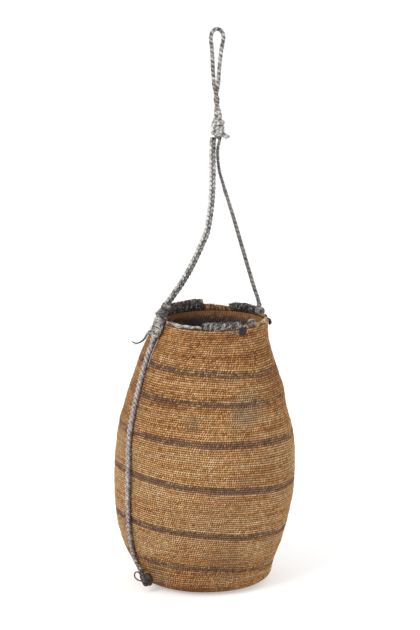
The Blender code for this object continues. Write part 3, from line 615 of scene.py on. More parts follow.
def outline_radius(height):
    """The outer radius of the wall at heights above the table."""
    height = np.asarray(height, float)
    turn = np.arccos(np.clip(1 - height / CORNER_HEIGHT * (1 - cos(CORNER_ARC)), -1, 1))
    corner = FLAT_RADIUS + (CORNER_RADIUS - FLAT_RADIUS) * np.sin(turn) / sin(CORNER_ARC)
    swell = through(SWELL, (height - CORNER_HEIGHT) / (BELLY_HEIGHT - CORNER_HEIGHT))
    taper = through(TAPER, (height - BELLY_HEIGHT) / (HEIGHT - BELLY_HEIGHT))
    low = CORNER_RADIUS + (BELLY_RADIUS - CORNER_RADIUS) * swell
    high = MOUTH_RADIUS + (BELLY_RADIUS - MOUTH_RADIUS) * taper
    return np.where(height < CORNER_HEIGHT, corner, np.where(height < BELLY_HEIGHT, low, high))


def round_points(radius, angle, height, middle=0.0):
    """Points at a radius, an angle and a height round an upright line that is shifted to the right."""
    radius, angle, height = np.broadcast_arrays(radius, angle, height)
    return np.stack([middle + radius * np.cos(angle), radius * np.sin(angle), height], -1)


def on_wall(height, angle, out):
    """Points that stand off the outer face, square to it."""
    height, angle, out = np.broadcast_arrays(height, angle, out)
    nudge = 0.0002
    low, high = np.clip(height - nudge, 0, HEIGHT - nudge), np.clip(height + nudge, nudge, HEIGHT)
    rise = (outline_radius(high) - outline_radius(low)) / (high - low)
    steep = np.sqrt(1 + rise * rise)
    outward = np.stack([np.cos(angle) / steep, np.sin(angle) / steep, -rise / steep], -1)
    middle = MOUTH_SHIFT * through(LEAN, height / HEIGHT)
    return round_points(outline_radius(height), angle, height, middle) + outward * out[..., None]


def row_height(level, angle):
    """The height of a weft row, which sinks towards the right and wanders a little."""
    wander = np.sin(3 * angle + level / 0.041) + np.sin(5 * angle - level / 0.029)
    wander = wander + 0.7 * np.sin(11 * angle + level / 0.023)
    sunk = through(ROW_DROP, level / HEIGHT) * outline_radius(level) * np.cos(angle)
    kept = np.clip(level / 0.03, 0, 1) * np.clip((HEIGHT - level) / 0.03, 0, 1)
    return np.clip(level - sunk + ROW_WANDER * wander * kept, 0, HEIGHT)


# How far along the outline each level lies, from the edge of the flat underside up to the rim
outline_turns = np.linspace(0, CORNER_ARC, 200)
outline_levels = np.concatenate([
    CORNER_HEIGHT * (1 - np.cos(outline_turns)) / (1 - cos(CORNER_ARC)),
    np.linspace(CORNER_HEIGHT, HEIGHT, 3000)[1:],
])
outline_steps = np.hypot(np.diff(outline_levels), np.diff(outline_radius(outline_levels)))
outline_reach = np.concatenate([[0], np.cumsum(outline_steps)])
rng = np.random.default_rng(7)
# The slow, uneven swell of a handmade wall: phase, waves round it and height of each
swell_waves = [(rng.uniform(0, 2 * pi), rng.integers(2, 9), rng.uniform(0.012, 0.06)) for _ in range(14)]


def unevenness(level, angle):
    """How far the handmade wall bulges or sinks."""
    waves = [np.sin(around * angle + phase + level / tall) for phase, around, tall in swell_waves]
    total = WAVE_DEPTH * sum(waves)
    for height, tall, way, out in BULGES:
        near = np.exp(-((level - height) / tall) ** 2)
        total = total + out * near * np.clip(way * np.cos(angle), 0, 1) ** 8
    return total * np.clip(level / 0.03, 0, 1)


def stitch_relief(u, v):
    """The height of twined stitches, from 0 in the gaps to 1 on their crowns."""
    across = u - STITCH_SLANT * (v - 0.5)
    off = abs(2 * (across - np.floor(across + 0.5)))
    return np.sqrt(np.clip(1 - 0.88 * off**2.2 - 0.64 * abs(2 * v - 1) ** 2.6, 0, 1))


def stitch_map(rows, columns, first_row, along=lambda place, row: place):
    """Which stitch and which row each corner of each face is in."""
    uv = np.empty((rows * ROW_CUTS, columns, 4, 2))
    face_v = np.arange(rows * ROW_CUTS)[:, None]
    face_row = face_v // ROW_CUTS
    for corner, (down, over) in enumerate(CORNERS):
        here_v = (face_v + down) / ROW_CUTS - face_row
        here_u = (np.arange(columns) + over)[None] / STITCH_CUTS
        uv[:, :, corner, 0] = along(here_u, face_row) - STITCH_SLANT * (here_v - 0.5)
        uv[:, :, corner, 1] = first_row + face_row + np.clip(here_v, 0.001, 0.999)
    return uv


def twined_zone(name, low, high, finish, first_row, stands_for=(), dyes=None, faded=1.0):
    """One stretch of twined rows between two levels, dyed row by row. It gives its number of rows."""
    start, end = np.interp([low, high], outline_levels, outline_reach)
    rows = max(1, round((end - start) / ROW_PITCH))
    stitches = round(2 * pi * float(outline_radius((low + high) / 2)) / STITCH_WIDTH)
    columns = stitches * STITCH_CUTS
    v = np.arange(rows * ROW_CUTS + 1) / ROW_CUTS
    row = np.minimum(np.floor(v), rows - 1).astype(int)
    grid_u, grid_v = np.meshgrid(np.arange(columns) / STITCH_CUTS, v)
    spacing = np.random.default_rng(100 + first_row)
    shifts, turns = spacing.uniform(-0.5, 0.5, rows + 1), spacing.integers(9, 17, rows + 1)

    def along(place, row):
        """Which stitch of a row a place is in. The stitches are set a little closer here and wider there."""
        return place + shifts[row] + 0.9 * np.sin(turns[row] * 2 * pi * place / stitches + 9 * shifts[row])

    own = np.random.default_rng(200 + first_row)
    lifts = own.uniform(0.74, 1.0, (rows + 1, stitches))
    row_lifts = own.uniform(-ROW_SHIFT, ROW_SHIFT, rows + 1)[row][:, None]
    local_v = grid_v - row[:, None]
    shifted = along(grid_u, row[:, None])
    stitch = np.floor(shifted - STITCH_SLANT * (local_v - 0.5) + 0.5).astype(int) % stitches
    relief = stitch_relief(shifted, local_v) * lifts[row[:, None], stitch]
    level = np.interp(start + grid_v * (end - start) / rows, outline_reach, outline_levels)
    angle = 2 * pi * grid_u / stitches
    # The wall's face lies at 0.8 of the relief: crowns stand out of it a little, and gaps sink in
    out = (relief - 0.80) * RELIEF + unevenness(level, angle) + row_lifts * np.clip(level / 0.02, 0, 1)
    points = on_wall(row_height(level, angle), angle, out)
    points[..., 2] = np.maximum(points[..., 2], 0)
    dye = np.zeros_like(relief)
    if dyes:
        # Strongest where the band faces the front and the back, and uneven along each row
        strongest = faded + (1 - faded) * np.sin(angle + 0.15) ** 2
        phases = own.uniform(0, 2 * pi, (rows, 3))[row]
        waves = sum(np.sin(times * angle + phases[:, k][:, None]) for k, times in enumerate((5, 9, 17)))
        row_dye = np.array(dyes)[np.minimum(row, len(dyes) - 1)][:, None]
        dye = np.clip(row_dye * strongest + 0.10 * waves, 0, 1)
    uv = stitch_map(rows, columns, first_row, along)
    mesh_piece(name, [(points, uv, relief, dye)], finish, "basket", stands_for, capped=False)
    return rows


def woven_fibre(name, shades, painted_groove_shade, dye=None, stains=()):
    """Dry matt plant fibre, twined, with light crowns, painted shade in the gaps and a tone for each stitch
    and row.
    """
    material, tree, shader = new_material(name)
    weave = add(tree, "UVMap", uv_map="lay")
    split = add(tree, "SeparateXYZ", {0: weave})
    stitch = add(tree, "Math", {0: add(tree, "Math", {0: split, 1: 0.5})}, operation="FLOOR")
    row = add(tree, "Math", {0: split.outputs[1]}, operation="FLOOR")
    own = add(tree, "TexWhiteNoise", {0: add(tree, "CombineXYZ", {0: stitch, 1: row})}, noise_dimensions="2D")
    row_own = add(tree, "TexWhiteNoise", {"W": row}, noise_dimensions="1D")
    place = add(tree, "TexCoord").outputs["Object"]
    # Streaks of one harvest of fibre, 60 to 120 mm long and a row or two high
    long_streaks = add(tree, "Mapping", {0: place, "Scale": (9, 9, 260)})
    streak = add(tree, "TexNoise", {"Vector": long_streaks, "Scale": 1.0, "Detail": 3.0})
    # Knots and worn spots 3 to 6 mm across, and lighter and darker parts 60 mm across
    spot = add(tree, "TexNoise", {"Vector": place, "Scale": 190.0, "Detail": 2.0})
    broad = add(tree, "TexNoise", {"Vector": place, "Scale": 16.0, "Detail": 2.0})
    # Each pattern averages a half, and this takes about their mean off again
    tone = -0.83
    for source, weight in ((own, 0.32), (row_own, 0.12), (streak, 0.75), (spot, 0.22), (broad, 0.30)):
        tone = add(tree, "Math", {0: source, 1: weight, 2: tone}, operation="MULTIPLY_ADD")
    # Darker towards the rim, lighter about the belly, and darkest at the edge of the base, a painted shade
    # where the wall meets the table
    share_up = add(tree, "MapRange", {0: add(tree, "SeparateXYZ", {0: place}).outputs[2], 2: HEIGHT})
    height_tone = add(tree, "FloatCurve", {"Value": share_up})
    points = height_tone.mapping.curves[0].points
    points[0].location = HEIGHT_TONE[0][0], 0.5 + HEIGHT_TONE[0][1]
    points[-1].location = HEIGHT_TONE[-1][0], 0.5 + HEIGHT_TONE[-1][1]
    for share, lift in HEIGHT_TONE[1:-1]:
        points.new(share, 0.5 + lift)
    height_tone.mapping.update()
    tone = add(tree, "Math", {0: tone, 1: height_tone})
    # Redder harvests of fibre in patches 60 mm across
    redness = add(
        tree, "TexNoise", {"Vector": place, "Scale": 15.0, "Detail": 3.0, "W": 4.0}, noise_dimensions="4D"
    )
    redder = add(tree, "MapRange", {0: redness, 1: 0.46, 2: 0.68, 3: 0.0, 4: 0.32})
    colour = add(tree, "ValToRGB", {0: tone}, even_stops(shades, 0.05, 0.95))
    colour = add(tree, "Mix", {0: redder, 6: colour, 7: srgb("A0603A")}, data_type="RGBA").outputs[2]
    for centre, reach, stain, strength in stains:
        off = add(tree, "VectorMath", {0: place, 1: centre}, operation="DISTANCE").outputs["Value"]
        near = add(tree, "MapRange", {0: off, 1: reach, 2: reach * 0.3, 3: 0.0, 4: strength})
        speckle = add(tree, "MapRange", {0: own, 1: 0.15, 2: 0.75, 3: 0.45, 4: 1.0})
        cover = add(tree, "Math", {0: near, 1: speckle}, operation="MULTIPLY")
        colour = add(tree, "Mix", {0: cover, 6: colour, 7: srgb(stain)}, data_type="RGBA").outputs[2]
    if dye:
        # Where the dye is weaker, some stitches stay plain
        strength = add(tree, "Attribute", attribute_name="shade").outputs["Fac"]
        lack = add(tree, "Math", {0: own, 1: -0.42, 2: strength}, operation="MULTIPLY_ADD")
        amount = add(tree, "MapRange", {0: lack, 1: -0.08, 2: 0.54, 3: 0.12, 4: 0.95})
        dyed = add(tree, "ValToRGB", {0: tone}, even_stops(dye, 0.15, 0.95))
        colour = add(tree, "Mix", {0: amount, 6: colour, 7: dyed}, data_type="RGBA").outputs[2]
    # The gaps between stitches and rows, where the relief is low, take the painted groove shade
    relief = add(tree, "Attribute", attribute_name="relief")
    crown = add(tree, "MapRange", {0: relief.outputs["Fac"], 1: 0.30, 2: 0.92})
    # Fibres 0.2 mm wide lie along each stitch
    fibre = add(
        tree, "TexNoise",
        {"Vector": add(tree, "Mapping", {0: weave, "Scale": (14, 2, 1)}), "Scale": 1.0, "Detail": 2.0},
    )
    bump = add(tree, "Bump", {"Height": fibre, "Strength": 0.5, "Distance": 0.0002})
    rough = add(tree, "MapRange", {0: fibre, 3: 0.66, 4: 0.92})
    colour = add(tree, "Mix", {0: crown, 6: srgb(painted_groove_shade), 7: colour}, data_type="RGBA")
    tree.links.new(colour.outputs[2], shader.inputs["Base Color"])
    tree.links.new(bump.outputs[0], shader.inputs["Normal"])
    tree.links.new(rough.outputs[0], shader.inputs["Roughness"])
    shader.inputs["Specular IOR Level"].default_value = 0.25
    return material


TAN_SHADES = ("6C3E20", "BA7E46", "EAAF6E", "F9D09A", "FFE8C4")
# Shares of the height, and how much lighter the fibre is there, with a painted shade at the base
HEIGHT_TONE = (
    (0, -0.18), (0.06, -0.08), (0.13, 0.00), (0.25, 0.05), (0.48, 0.05), (0.66, -0.05), (0.85, -0.09),
    (1, -0.09),
)
STAINS = (
    # Middle, reach, colour and strength
    ((-0.0464, -0.0397, 0.3351), 0.0065, "B0622C", 0.75),
    ((0.0551, -0.0820, 0.2433), 0.030, "ABA08D", 0.55),
    ((0.0427, -0.0922, 0.2305), 0.024, "A1937F", 0.40),
    ((-0.0152, -0.1014, 0.2277), 0.016, "6A5A4E", 0.45),
    ((0.0244, -0.0898, 0.0404), 0.040, "7C5A4C", 0.40),
    ((-0.0593, -0.0672, 0.0249), 0.026, "8A7A6C", 0.50),
)
# Undyed fibre is a warm tan with pale crowns, and a dark brown painted shade in the gaps. The dyed rows
# are brown and faded, and those of the top band a little greyer.
twined_tan = woven_fibre("twined_plant_fibre", TAN_SHADES, "38200F", stains=STAINS)
dark_dye = woven_fibre("dyed_plant_fibre", TAN_SHADES, "33211A", ("63422F", "AE866B"), STAINS)
blue_dye = woven_fibre("bluish_dyed_plant_fibre", TAN_SHADES, "33261F", ("5A473E", "A0866F"), STAINS)

row_count, reached = 0, 0.0
for number, (share, dyes, faded) in enumerate(BANDS, 1):
    low, high = share * HEIGHT - BAND_WIDTH / 2, share * HEIGHT + BAND_WIDTH / 2
    stands_for = ["woven_wall"] if number == 1 else []
    row_count += twined_zone(f"twined_wall_{number}", reached, low, twined_tan, row_count, stands_for)
    finish = blue_dye if number == len(BANDS) else dark_dye
    stands_for = [f"dyed_band_{number}"]
    row_count += twined_zone(f"dyed_rows_{number}", low, high, finish, row_count, stands_for, dyes, faded)
    reached = high
row_count += twined_zone("twined_wall_7", reached, HEIGHT - LIP_ROLL, twined_tan, row_count)

# The flat underside, whose rows run round its middle
under_u = np.arange(UNDER_STITCHES * STITCH_CUTS) / STITCH_CUTS
grid_u, grid_v = np.meshgrid(under_u, np.arange(UNDER_ROWS * ROW_CUTS + 1) / ROW_CUTS)
under_relief = stitch_relief(grid_u, grid_v - np.minimum(np.floor(grid_v), UNDER_ROWS - 1))
radius = UNDER_HOLE + (FLAT_RADIUS - 0.0002) * grid_v / UNDER_ROWS
angle = 2 * pi * grid_u / UNDER_STITCHES
under_points = round_points(radius, angle, (1 - under_relief) * RELIEF)
under_uv = stitch_map(UNDER_ROWS, UNDER_STITCHES * STITCH_CUTS, UNDER_FIRST_ROW)
under_grid = (under_points, under_uv, under_relief, 0.5)
mesh_piece("twined_underside", [under_grid], twined_tan, "basket", capped=False)


# The rim's edge
# The wall ends in a worn, rounded lip of slanted stitches over the warp ends. At the back, between the two
# corded stretches, the warp ends stand bare and frayed, and shorter ones show in the gaps elsewhere.

LIP_RADIUS = WALL / 2
LIP_MIDDLE = MOUTH_RADIUS - LIP_RADIUS
LIP_STITCHES = 170
LIP_CUTS = 4
LIP_ROWS = 3
LIP_SLANT = 0.6
LIP_RELIEF = 0.0010
# The lip goes round from its outer foot to its inner one
LIP_TURN = (-40, 205)
LIP_RINGS = 26
FRINGES = (
    # From and to an angle, how many ends, and how far they stand above the lip at each angle
    (71, 104, 96, 0.0012, 0.0046),
    (163, 205, 60, 0.0022, 0.0030),
    (-50, -39, 14, 0.0010, 0.0014),
    (-8, 22, 36, 0.0010, 0.0018),
)
LOOSE_WEFTS = (
    # How far above the lip, from and to an angle, and radius
    (0.0012, (73, 103), 0.0007),
    (0.0026, (80, 104), 0.0006),
    (0.0039, (90, 104), 0.0006),
)
WEFT_POINTS = 70


def uneven(count, every, amount, seed):
    """A smooth run of chance values about 0, with a new one after every so many steps."""
    marks = np.arange(0, count + every, every)
    chance = np.random.default_rng(seed).uniform(-1, 1, len(marks))
    return amount * np.interp(np.arange(count), marks, chance)


# The same fibre, greyed and darkened by handling
worn_shades = ("4E3322", "755138", "98734F", "B3936E", "D8C29C")
worn_rim = woven_fibre("worn_rim_fibre", worn_shades, "33211A", stains=STAINS[:1])
lip_turns = np.radians(np.linspace(*LIP_TURN, LIP_RINGS))
lip_angles = 2 * pi * np.arange(LIP_STITCHES * LIP_CUTS) / (LIP_STITCHES * LIP_CUTS)
lip_v = np.linspace(0, LIP_ROWS, len(lip_turns))
grid_u, grid_v = np.meshgrid(np.arange(LIP_STITCHES * LIP_CUTS) / LIP_CUTS, lip_v)
lip_lifts = np.repeat(np.random.default_rng(29).uniform(0.62, 1.0, LIP_STITCHES), LIP_CUTS)[None]
lip_relief = stitch_relief(grid_u + LIP_SLANT * grid_v, grid_v - np.minimum(np.floor(grid_v), LIP_ROWS - 1))
lip_relief = lip_relief * lip_lifts
sag = 0.00040 * (1 - np.cos(5 * lip_angles + 1) * np.cos(3 * lip_angles))
sag = sag + 0.00025 * (1 + np.sin(13 * lip_angles + 2) * np.sin(23 * lip_angles))
lip_reach = LIP_RADIUS - (1 - lip_relief) * LIP_RELIEF
lip_out = LIP_MIDDLE + lip_reach * np.cos(lip_turns)[:, None]
lip_up = HEIGHT - LIP_RADIUS + lip_reach * np.sin(lip_turns)[:, None]
lip_up = lip_up - sag[None] * np.clip(np.sin(lip_turns), 0, 1)[:, None]
lip_points = round_points(lip_out, lip_angles, lip_up, MOUTH_SHIFT)
lip_uv = np.empty((len(lip_turns) - 1, len(lip_angles), 4, 2))
lip_row = np.floor(lip_v[:-1])[:, None]
for corner, (down, over) in enumerate(CORNERS):
    here_v = lip_v[down : len(lip_v) - 1 + down][:, None]
    lip_uv[:, :, corner, 0] = (np.arange(len(lip_angles)) + over)[None] / LIP_CUTS + LIP_SLANT * here_v + 0.3
    lip_uv[:, :, corner, 1] = LIP_FIRST_ROW + lip_row + np.clip(here_v - lip_row, 0.001, 0.999)
mesh_piece("rim_lip", [(lip_points, lip_uv, lip_relief, 0.0)], worn_rim, "basket", capped=False)

# Frayed warp ends, each of its own shade from dark brown to straw
bare_fibre = cord_fibre("bare_warp_ends", ("4A2F1E", "7E5334", "A77B50", "D6BC90"), "2A1A12")
own = np.random.default_rng(31)
warp_grids = []
for low, high, count, low_tall, high_tall in FRINGES:
    for share in np.linspace(0, 1, count):
        angle = radians(low + (high - low) * share)
        foot = round_points(LIP_MIDDLE + own.uniform(-0.0014, 0.0014), angle, HEIGHT - 0.003, MOUTH_SHIFT)
        lean = np.array([own.normal(0, 0.14) * -sin(angle), own.normal(0, 0.14) * cos(angle), 1])
        top = (low_tall + (high_tall - low_tall) * share) * own.uniform(0.6, 1.05) + 0.003
        warp = foot + np.linspace(0, 1, 5)[:, None] * top * lean
        radius = own.uniform(0.0005, 0.0008)
        warp_grids.append(strand_grid(warp, radius, tone=own.uniform(0.15, 0.85), around=6))
mesh_piece("bare_warp_end_fringe", warp_grids, bare_fibre, "basket")
# Loose weft rows left on the bare warp ends at the back
weft_grids = []
for rise, span, radius in LOOSE_WEFTS:
    angles = np.radians(np.linspace(*span, WEFT_POINTS))
    reach = LIP_MIDDLE + uneven(WEFT_POINTS, 4, 0.0014, 33 + span[0])
    heights = HEIGHT + rise + uneven(WEFT_POINTS, 5, 0.0004, 34 + span[0])
    line = round_points(reach, angles, heights, MOUTH_SHIFT)
    weft_grids.append(strand_grid(line, radius, tone=0.7 + uneven(WEFT_POINTS, 3, 0.2, 35)))
mesh_piece("loose_rim_wefts", weft_grids, bare_fibre, "basket")


# The inside
# The back of the twining, with the upright warps showing as ribs down to the base. It is painted darker
# farther down, as the shade inside the basket.

INNER_RIBS = 130
RIB_CUTS = 4
INNER_ROW = 0.0031
INNER_RELIEF = 0.0006
FLOOR_RINGS = 24
# Rings of the mesh down from the lip, 1 mm each, and how light the painted shade of the inside leaves it
# there
INNER_PAINTED_SHADE = (0, 5, 12, 20, 34, 90), (1.0, 0.90, 0.34, 0.20, 0.12, 0.08)

inner_levels = np.concatenate([np.linspace(HEIGHT - 0.0025, 0.003, 330), [0.0018, 0.0008, 0.0002]])
inner_angles = 2 * pi * np.arange(INNER_RIBS * RIB_CUTS) / (INNER_RIBS * RIB_CUTS)
rib = (0.5 + 0.5 * np.cos(INNER_RIBS * inner_angles))[None]
row_wave = 0.5 + 0.5 * np.cos(2 * pi * inner_levels / INNER_ROW)
inner_relief = 0.62 * rib + 0.38 * row_wave[:, None]
inner_points = on_wall(inner_levels[:, None], inner_angles[None], -WALL - INNER_RELIEF * inner_relief)
floor_out = np.linspace(FLAT_RADIUS - 0.002, 0.0004, FLOOR_RINGS)[:, None]
inner_points = np.concatenate([inner_points, round_points(floor_out, inner_angles, WALL)])
inner_relief = 0.25 + 0.75 * np.concatenate([inner_relief, np.repeat(rib, FLOOR_RINGS, 0)])
inner_rows = np.arange(len(inner_points))
inner_uv = lay_map(inner_rows, len(inner_angles), 0.8)
inner_painted_shade = np.interp(inner_rows, *INNER_PAINTED_SHADE)[:, None]
# Tan fibre at the lip, painted dark grey-brown farther down as the shade inside the basket
inner_fibre = cord_fibre("inner_fibre_painted_shade", ("46393A", "5A5454", "86664F", "C08A5C"), "2A211D", 1.2)
inner_grid = (inner_points, inner_uv, inner_relief, inner_painted_shade)
mesh_piece("inner_wall", [inner_grid], inner_fibre, "basket", capped=False)


# The cords wound along the rim
# A thin core lies along the lip on three stretches. Uneven grey cords are wound round it, one across the
# others, and loose ones lie along them, so that the rim stands as a lumpy edge.

RIM_WINDINGS = (
    # Place, span, height and radius of the core,
    # and the winding's middle height, reach, flatness, thread and pitch
    ("front", (-101.5, -59.5), 0.34332, 0.0012, 0.3421, 0.0034, 0.88, 0.0013, 0.0042),
    ("back_left", (104, 163), 0.34468, 0.0015, 0.3433, 0.0048, 0.74, 0.0017, 0.0054),
    ("back_right", (36.5, 71.5), 0.34332, 0.0012, 0.3415, 0.0036, 0.90, 0.0013, 0.0042),
)
RIM_SWELL = {
    # How full each winding is along its length
    "front": (0.95, 1.08, 0.92, 1.04, 0.82),
    "back_left": (0.98, 1.06, 1.02, 0.94, 0.82),
    "back_right": (0.86, 1.04, 1.10, 0.96, 0.60),
}
CORE_OVERRUN = 0.0018
THREAD_PITCH = 0.0058
UP = (0, 0, 1)
# Which way wound threads show their twist
LAID_UP = (0.1, 0.2, 0.97)


def rim_line(span, height, radius=LIP_MIDDLE):
    """Points along the rim's middle line, between two angles in degrees."""
    start, end = np.radians(span)
    angles = np.linspace(start, end, max(3, round(abs(end - start) * radius / 0.0007)))
    return round_points(radius, angles, height, MOUTH_SHIFT)


def wound(line, reach, loops, facing, phase=0.0, flat=1.0, rough=0.0, seed=0):
    """A thread wound round a line, with its distance from it. A rough one lies unevenly."""
    at = np.linspace(0, len(line) - 1, max(int(abs(loops) * 30), len(line)) + 1)
    middle = np.stack([np.interp(at, np.arange(len(line)), line[:, axis]) for axis in range(3)], -1)
    side, out = across_line(middle, facing)
    turn = 2 * pi * loops * at / (len(line) - 1) + phase + uneven(len(at), 21, 2.6 * rough, seed)
    away = np.interp(at, np.arange(len(line)), np.broadcast_to(reach, len(line)))
    away = (away * (1 + uneven(len(at), 11, rough, seed + 1)))[:, None]
    return middle + away * (np.cos(turn)[:, None] * out + flat * np.sin(turn)[:, None] * side)


def rough_winding(line, reach, thread, loops, facing, tones, flat=1.0, rough=0.16, seed=0, along=0):
    """Three uneven threads wound round a line, the last one across the others, and loose ones along them."""
    grids = []
    threads = (1.0, 0.0, loops), (0.86, pi, loops), (0.62, 1.0, -0.55 * loops)
    for (share, phase, turns), tone in zip(threads, tones):
        away = reach + thread * (1 - share)
        wrap = wound(line, away, turns, facing, phase, flat, rough, seed + round(10 * share))
        radius = thread * share * (1 + uneven(len(wrap), 9, 0.34, seed + 3))
        shade = tone + uneven(len(wrap), 8, 0.30, seed + 4)
        grids += twisted_grids(wrap, radius, THREAD_PITCH, (shade, shade + 0.14), LAID_UP)
    for strand in range(along):
        phase = 2 * pi * strand / along
        lie = wound(line, reach + 0.6 * thread, 0.7, facing, phase, flat, rough, seed + 20 + strand)
        radius = 0.55 * thread * (1 + uneven(len(lie), 4, 0.5, seed + 30 + strand))
        shade = tones[strand % 3] + 0.1 + uneven(len(lie), 3, 0.35, seed + 40 + strand)
        grids += twisted_grids(lie, radius, THREAD_PITCH, (shade, shade + 0.1), LAID_UP)
    return grids


# Dark cord, seen only between the turns over it
rim_core_fibre = cord_fibre("twisted_rim_core", ("332C29", "574F4A", "7A716A"), "1C1715")
# Dusty grey cord, uneven and scuffed, and a darker one at the back
front_fibre = cord_fibre("wound_grey_cord", ("3E3836", "7C7572", "AFA8A4", "D8D3CF"), "292322", 1.5)
back_fibre = cord_fibre("wound_dark_cord", ("322C2A", "5E5552", "867C78", "B0A7A2"), "1E1917", 1.5)
more = CORE_OVERRUN / MOUTH_RADIUS * 180 / pi
for place, span, core_height, core_radius, middle_height, reach, flat, thread, pitch in RIM_WINDINGS:
    finish = front_fibre if place == "front" else back_fibre
    core_grids = twisted_grids(
        rim_line((span[0] - more, span[1] + more), core_height), core_radius, 0.004, (0.4, 0.5), UP
    )
    mesh_piece(f"rim_core_{place}_twist", core_grids, rim_core_fibre, "basket", [f"rim_core_{place}"])
    line = rim_line(span, middle_height)
    loops = round(length_along(line)[-1] / pitch)
    full = reach * np.interp(np.linspace(0, 4, len(line)), np.arange(5), RIM_SWELL[place])
    grids = rough_winding(line, full, thread, 0.8 * loops, UP, (0.44, 0.30, 0.60), flat, 0.20, 40 + loops, 6)
    mesh_piece(f"rim_wrap_{place}_turns", grids, finish, "basket", [f"rim_wrap_{place}"])
    crest = line + (0, 0, 0.001)
    stray_fibres(f"rim_wrap_{place}_strays", crest, reach + 0.0005, 140, 40 + loops, finish, "basket", 0.0028)


# The edge cords
# Two-ply cords of undyed fibre that lie along the lip: a whitish one at the front left, a short tan one
# and a thicker tan one at the front right. A looser strand lies beside each, outside the lip.

# Undyed cords, one whitish and one the colour of straw
whitish_fibre = cord_fibre("twisted_whitish_fibre", ("7C746C", "ACA49A", "CFC8BD", "E6E1D8"), "4A4038")
tan_fibre = cord_fibre("twisted_tan_fibre", ("8A6844", "B39467", "D0B98F", "E6D6B4"), "4E3822")
EDGE_CORDS = (
    # Place, span, radius and fibre
    ("left", (-154, -103.5), 0.0013, whitish_fibre),
    ("middle", (-57, -50.5), 0.0013, tan_fibre),
    ("right", (-38.5, -8), 0.0016, tan_fibre),
)
for place, span, radius, finish in EDGE_CORDS:
    line = rim_line(span, HEIGHT + 0.0013)
    line[:, 2] += uneven(len(line), 7, 0.0005, 50 + len(line))
    wide = radius * (1 + uneven(len(line), 5, 0.28, 51))
    tone = 0.68 + uneven(len(line), 6, 0.30, 52)
    grids = twisted_grids(line, wide, 0.0062, (tone, tone + 0.14), UP)
    beside = rim_line(span, HEIGHT - 0.0002, MOUTH_RADIUS - 0.0006)
    beside[:, 2] += uneven(len(beside), 9, 0.0013, 53)
    wide = 0.7 * radius * (1 + uneven(len(beside), 6, 0.35, 55))
    tone = 0.52 + uneven(len(beside), 6, 0.30, 54)
    grids += twisted_grids(beside, wide, 0.007, (tone, tone + 0.12))
    mesh_piece(f"rim_edge_{place}_twist", grids, finish, "basket", [f"rim_edge_cord_{place}"])
    stray_fibres(f"rim_edge_{place}_strays", line, radius, 30, 56, finish, "basket", 0.002)


# The right lashing
# Slanted turns of a light and a dark thread round the end of the rim's core, with a small lump of turns
# over them, which hold the foot of the thin cord.

TIE_RIGHT_SPAN = (23.2, 33.8)
TIE_RIGHT_TURNS = (
    # Reach, loops, phase, roughness, seed, thread and tones
    (0.0037, 3, 0, 0.08, 61, 0.00140, (0.56, 0.72)),
    (0.0035, 3, pi, 0.10, 62, 0.0013, (0.14, 0.28)),
    (0.0037, -1.5, 1, 0.10, 63, 0.0011, (0.4, 0.56)),
)
TIE_RIGHT_LUMP = (
    # How far below the thin cord's foot, size, tilt and roll
    (0.0016, 0.0021, 0, 0),
    (0.0008, 0.0023, 12, -10),
    (0.0016, 0.0021, 80, 30),
)

core_grids = twisted_grids(rim_line(TIE_RIGHT_SPAN, 0.34384), 0.0012, 0.004, (0.4, 0.5), UP)
mesh_piece("tie_right_core_twist", core_grids, rim_core_fibre, "basket", ["tie_right_core"])
# Faded cord with a cold, lilac cast
lilac_fibre = cord_fibre("wound_lilac_cord", ("3C3538", "787074", "AFA8AB", "DAD5D5"), "241F21")
right_line = rim_line(TIE_RIGHT_SPAN, 0.3424)
right_grids = []
for reach, loops, phase, rough, seed, thread, tones in TIE_RIGHT_TURNS:
    wrap = wound(right_line, reach, loops, UP, phase, 0.92, rough, seed)
    right_grids += twisted_grids(wrap, thread, 0.005, tones, LAID_UP)
cord_foot = np.array(HANGER_CORD[0])
for below, size, tilt, roll in TIE_RIGHT_LUMP:
    lump = ring_line(cord_foot - (0, 0, below), (size, size), tilt, roll, cuts=40)
    right_grids += twisted_grids(lump, 0.0010, 0.0045, (0.34, 0.52))
right_grids.append(strand_grid(right_line, 0.0030, tone=0.2, around=12))
foot_core = smooth_route((cord_foot - (0, 0, 0.0050), cord_foot - (0, 0, 0.0012)), 0.0006)
right_grids.append(strand_grid(foot_core, 0.0021, tone=0.3, around=12))
mesh_piece("tie_right_turns", right_grids, lilac_fibre, "basket", ["tie_right"])
foot_turns = wound(cord_line[:12], 0.0019, 3, (0.3, -0.9, 0.3), 0, 1.0, 0.1, 64)
foot_grids = twisted_grids(foot_turns, 0.0009, 0.004, (0.5, 0.7))
mesh_piece("hanger_cord_whipping", foot_grids, lilac_fibre, "hanger")


# The side rope
# The same three-strand plait as the hanger's rope, more lilac-grey, lying down the outside of the wall
# to the base. Its right side has a painted shade, and it is darker towards its lower end.

SIDE_ROPE = (
    (-0.05785, -0.02984, 0.33915), (-0.06354, -0.03712, 0.32652), (-0.06811, -0.03972, 0.31176),
    (-0.07321, -0.04237, 0.29716), (-0.07770, -0.04575, 0.28251), (-0.08162, -0.04892, 0.26765),
    (-0.08527, -0.05199, 0.25270), (-0.08872, -0.05488, 0.23767), (-0.09177, -0.05790, 0.22258),
    (-0.09428, -0.06121, 0.20745), (-0.09577, -0.06387, 0.19207), (-0.09622, -0.06572, 0.17650),
    (-0.09643, -0.06705, 0.16087), (-0.09679, -0.06798, 0.14521), (-0.09707, -0.06836, 0.12953),
    (-0.09690, -0.06776, 0.11385), (-0.09639, -0.06626, 0.09824), (-0.09552, -0.06413, 0.08272),
    (-0.09393, -0.06095, 0.06745), (-0.09139, -0.05594, 0.05281), (-0.08699, -0.05258, 0.03818),
    (-0.07913, -0.05445, 0.02479),
)
SIDE_STRAND = 0.00165
